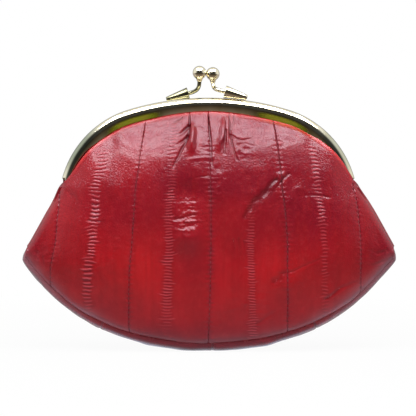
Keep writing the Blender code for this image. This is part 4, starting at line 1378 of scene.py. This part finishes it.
def gold_look():
    look = Look("champagne_gold", Metallic=1.0, Base_Color=(0.80, 0.74, 0.56, 1), Roughness=0.09)
    wear = look.noise((180, 180, 180), 4.0, 0.6)
    dull = look.painted("dull")
    matt = look.remap(dull, 1, 2, 0, 1)
    tarnished = look.painted("tarnish")
    green = look.mix(look.remap(wear, 0.35, 0.65, 0, 1), (0.24, 0.29, 0.015), (0.34, 0.27, 0.03))
    colour = look.layers(
        look.mix(look.remap(wear, 0.4, 0.7, 0, 1), (0.84, 0.79, 0.62), (0.72, 0.63, 0.42)),
        # Painted dark reflection: greyer plating, and on the rear knob darker brown and rougher as well
        (dull, (0.34, 0.37, 0.28)),
        (matt, (0.17, 0.145, 0.07)),
        # Painted reflection: a green glint on the channel's shoulders, less metallic so that it shows
        (look.remap(tarnished, 0, 0.5, 0, 1), green),
    )
    fine = look.remap(look.noise((900, 900, 900), 2.0, 0.5), 0.35, 0.7, 0.06, 0.16)
    rough = look.math("MAXIMUM", fine, look.math("MULTIPLY", matt, 0.3))
    look.feed(Base_Color=colour, Metallic=look.remap(tarnished, 0.3, 1, 1, 0.6), Roughness=rough)
    look.bump(look.noise((1200, 1200, 1200), 2.0, 0.5), 0.004 * MM, 0.5)
    return look.material


def cloth_look():
    look = Look("lining_weave", Roughness=0.8, Sheen_Weight=0.2)
    waves = []
    for axis in ("X", "Z"):
        wave = look.node("ShaderNodeTexWave", Vector=look.spot(), Scale=420.0, Distortion=0.4)
        wave.bands_direction = axis
        waves.append(wave.outputs["Fac"])
    weave = look.math("MAXIMUM", *waves)
    worn = look.remap(look.noise((140, 140, 140), 3.0), 0.4, 0.7, 0, 0.5)
    colour = look.mix(weave, (0.10, 0.006, 0.012), (0.20, 0.012, 0.02))
    look.feed(Base_Color=look.mix(worn, colour, (0.13, 0.01, 0.016)))
    look.bump(weave, 0.08 * MM)
    return look.material


def twisted_look(name, roughness, scale, detail, dark, light, depth):
    """Thread or paper that is twisted along one axis."""
    look = Look(name, Roughness=roughness)
    twist = look.noise(scale, detail)
    look.feed(Base_Color=look.mix(twist, dark, light))
    look.bump(twist, depth)
    return look.material


def thread_look():
    colours = (0.05, 0.004, 0.006), (0.16, 0.01, 0.013)
    return twisted_look("dark_thread", 0.75, (900, 900, 3000), 2.0, *colours, 0.04 * MM)


def paper_look():
    colours = (0.33, 0.22, 0.12), (0.55, 0.42, 0.27)
    return twisted_look("twisted_paper", 0.9, (900, 2600, 900), 3.0, *colours, 0.1 * MM)


leather, gold, cloth = leather_look(), gold_look(), cloth_look()
thread, paper = thread_look(), paper_look()
for face in SIDES:
    leather_strips(face, leather)
    stitches(face, thread)
    panel_lining(face, cloth)
gusset(leather)
gusset_lining(cloth)
frame_half("front", RIGHT, gold)
frame_half("rear", LEFT, gold)
rivet("left", LEFT, gold)
rivet("right", RIGHT, gold)
# The cords are shown by the CAD's own solids
for obj in bpy.data.objects:
    if obj.type == "MESH" and obj.name.startswith("paper_cord"):
        obj.material_slots[0].material = paper


# Camera, lights and room

CAMERA_DISTANCE = 0.9
CAMERA_ELEVATION = math.radians(2.5)
FRAME_WIDTH = 156.0 * MM
AIM = Vector((-0.1 * MM, 0, 53.1 * MM))
# How bright the room is for matt surfaces, towards the front and towards the back, and where the last two
# start and end in the depth of the direction
WORLD_DIFFUSE = 0.25
WORLD_DARK = 0.05
WORLD_BEHIND = 0.4
DARK_AHEAD = (-0.27, -0.85)
DIM_BEHIND = (0.35, 0.92)
FLOOR_HALF_SIZE = 1.5
FLOOR_GLOSS_RISE = 60 * MM
FLOOR_GLOSS_REACH = 34 * MM
FLOOR_GLOW = 0.95
SHADOW_REACH = (100 * MM, 260 * MM)
SOFTBOX = Vector((0, -0.30, 0.60))
# The softbox's tubes, with their power, lie one behind another along a row that rises to the back.
# Each is bent: its parts lie aside of the middle, and some of them further back along the row
TUBES = (2.5, 2.3, 2.1, 2.0)
TUBE_PARTS = ((-0.36, 0.08), (-0.18, 0.0), (0.0, 0.0), (0.18, 0.05), (0.36, 0.12))
TUBE_SIZE = (0.18, 0.06)
TUBE_PITCH = 0.12
TUBE_ROW = Vector((0, 0.874, 0.486))
TUBE_AIM = (0, 0, 0.06)
FILL_PLACE = (0, -0.80, 0.42)
FILL_AIM = (0, 0, 0.05)
FILL_SIZE = (0.6, 0.6)
FILL_POWER = 3.4


def camera():
    data = bpy.data.cameras.new("camera")
    obj = bpy.data.objects.new("camera", data)
    bpy.context.scene.collection.objects.link(obj)
    back = Vector((0, -math.cos(CAMERA_ELEVATION), math.sin(CAMERA_ELEVATION)))
    obj.location = AIM + back * CAMERA_DISTANCE
    obj.rotation_euler = back.to_track_quat("Z", "Y").to_euler()
    data.sensor_fit = "HORIZONTAL"
    data.angle = 2 * math.atan(FRAME_WIDTH / 2 / CAMERA_DISTANCE)
    bpy.context.scene.camera = obj


def area_light(name, place, aim, size, power):
    data = bpy.data.lights.new(name, "AREA")
    data.shape = "RECTANGLE"
    data.size, data.size_y = size
    data.energy = power
    obj = bpy.data.objects.new(name, data)
    bpy.context.scene.collection.objects.link(obj)
    obj.location = place
    obj.rotation_euler = (Vector(place) - Vector(aim)).to_track_quat("Z", "Y").to_euler()
    obj.visible_camera = False


def world():
    """A white room, dark towards the front and dimmer towards the back, which the camera sees plain white."""
    made = bpy.data.worlds.new("studio")
    bpy.context.scene.world = made
    made.use_nodes = True
    room = Nodes(made.node_tree)
    direction = room.node("ShaderNodeTexCoord").outputs["Generated"]
    depth = room.node("ShaderNodeSeparateXYZ", Vector=direction).outputs["Y"]
    path = room.node("ShaderNodeLightPath").outputs
    shown = room.math("MAXIMUM", path["Is Glossy Ray"], path["Is Transmission Ray"])
    strength = room.blend(shown, WORLD_DIFFUSE, 1.0)
    for ramp, seen in ((DARK_AHEAD, WORLD_DARK), (DIM_BEHIND, WORLD_BEHIND)):
        strength = room.blend(room.remap(depth, *ramp, 0, 1, smooth=True), strength, seen)
    background = room.tree.nodes["Background"]
    background.inputs["Color"].default_value = (1, 1, 1, 1)
    room.set(background.inputs["Strength"], room.blend(path["Is Camera Ray"], strength, 1.0))


def floor():
    bm = bmesh.new()
    bmesh.ops.create_grid(bm, size=FLOOR_HALF_SIZE)
    look = Look("floor_white", Base_Color=(0.45, 0.45, 0.45, 1), Roughness=0.9)
    path = look.node("ShaderNodeLightPath").outputs
    spot = look.spot()
    # In gloss the floor darkens to the front and the back, as the room does
    along = look.node("ShaderNodeSeparateXYZ", Vector=spot).outputs["Y"]
    away = look.math("ABSOLUTE", along)
    gloss = look.math("DIVIDE", FLOOR_GLOSS_REACH, look.math("ADD", away, FLOOR_GLOSS_REACH))
    gloss = look.math("MAXIMUM", gloss, look.remap(along, 0, FLOOR_GLOSS_RISE, 0, 0.6))
    shown = look.math("MAXIMUM", path["Is Glossy Ray"], path["Is Transmission Ray"])
    colour = look.mix(gloss, (1.0, 0.75, 0.5), (0.85, 0.88, 1.08))
    glow = look.node("ShaderNodeEmission", Strength=look.blend(shown, 1.0, gloss))
    look.set(glow.inputs["Color"], look.mix(shown, (1, 1, 1), colour))
    # Far from the object the floor passes into the white background
    reach = look.node("ShaderNodeVectorMath", Vector=spot)
    reach.operation = "LENGTH"
    white = look.remap(reach.outputs["Value"], *SHADOW_REACH, FLOOR_GLOW, 1.0)
    share = look.math("MAXIMUM", look.math("MULTIPLY", path["Is Camera Ray"], white), shown)
    blend = look.node("ShaderNodeMixShader", Fac=share)
    look.set(blend.inputs[1], look.shader.outputs[0])
    look.set(blend.inputs[2], glow.outputs[0])
    look.set(look.tree.nodes["Material Output"].inputs["Surface"], blend.outputs[0])
    add("floor", from_bmesh("floor", bm), look.material)


camera()
world()
floor()
for number, power in enumerate(TUBES):
    row = TUBE_PITCH * (number - (len(TUBES) - 1) / 2)
    for aside, back in TUBE_PARTS:
        place = SOFTBOX + Vector((aside, 0, 0)) + TUBE_ROW * (row + back)
        area_light(f"tube_{number}", place, TUBE_AIM, TUBE_SIZE, power / len(TUBE_PARTS))
area_light("fill", FILL_PLACE, FILL_AIM, FILL_SIZE, FILL_POWER)
bpy.data.objects["fill"].visible_glossy = False
bpy.context.scene.view_settings.view_transform = "Standard"
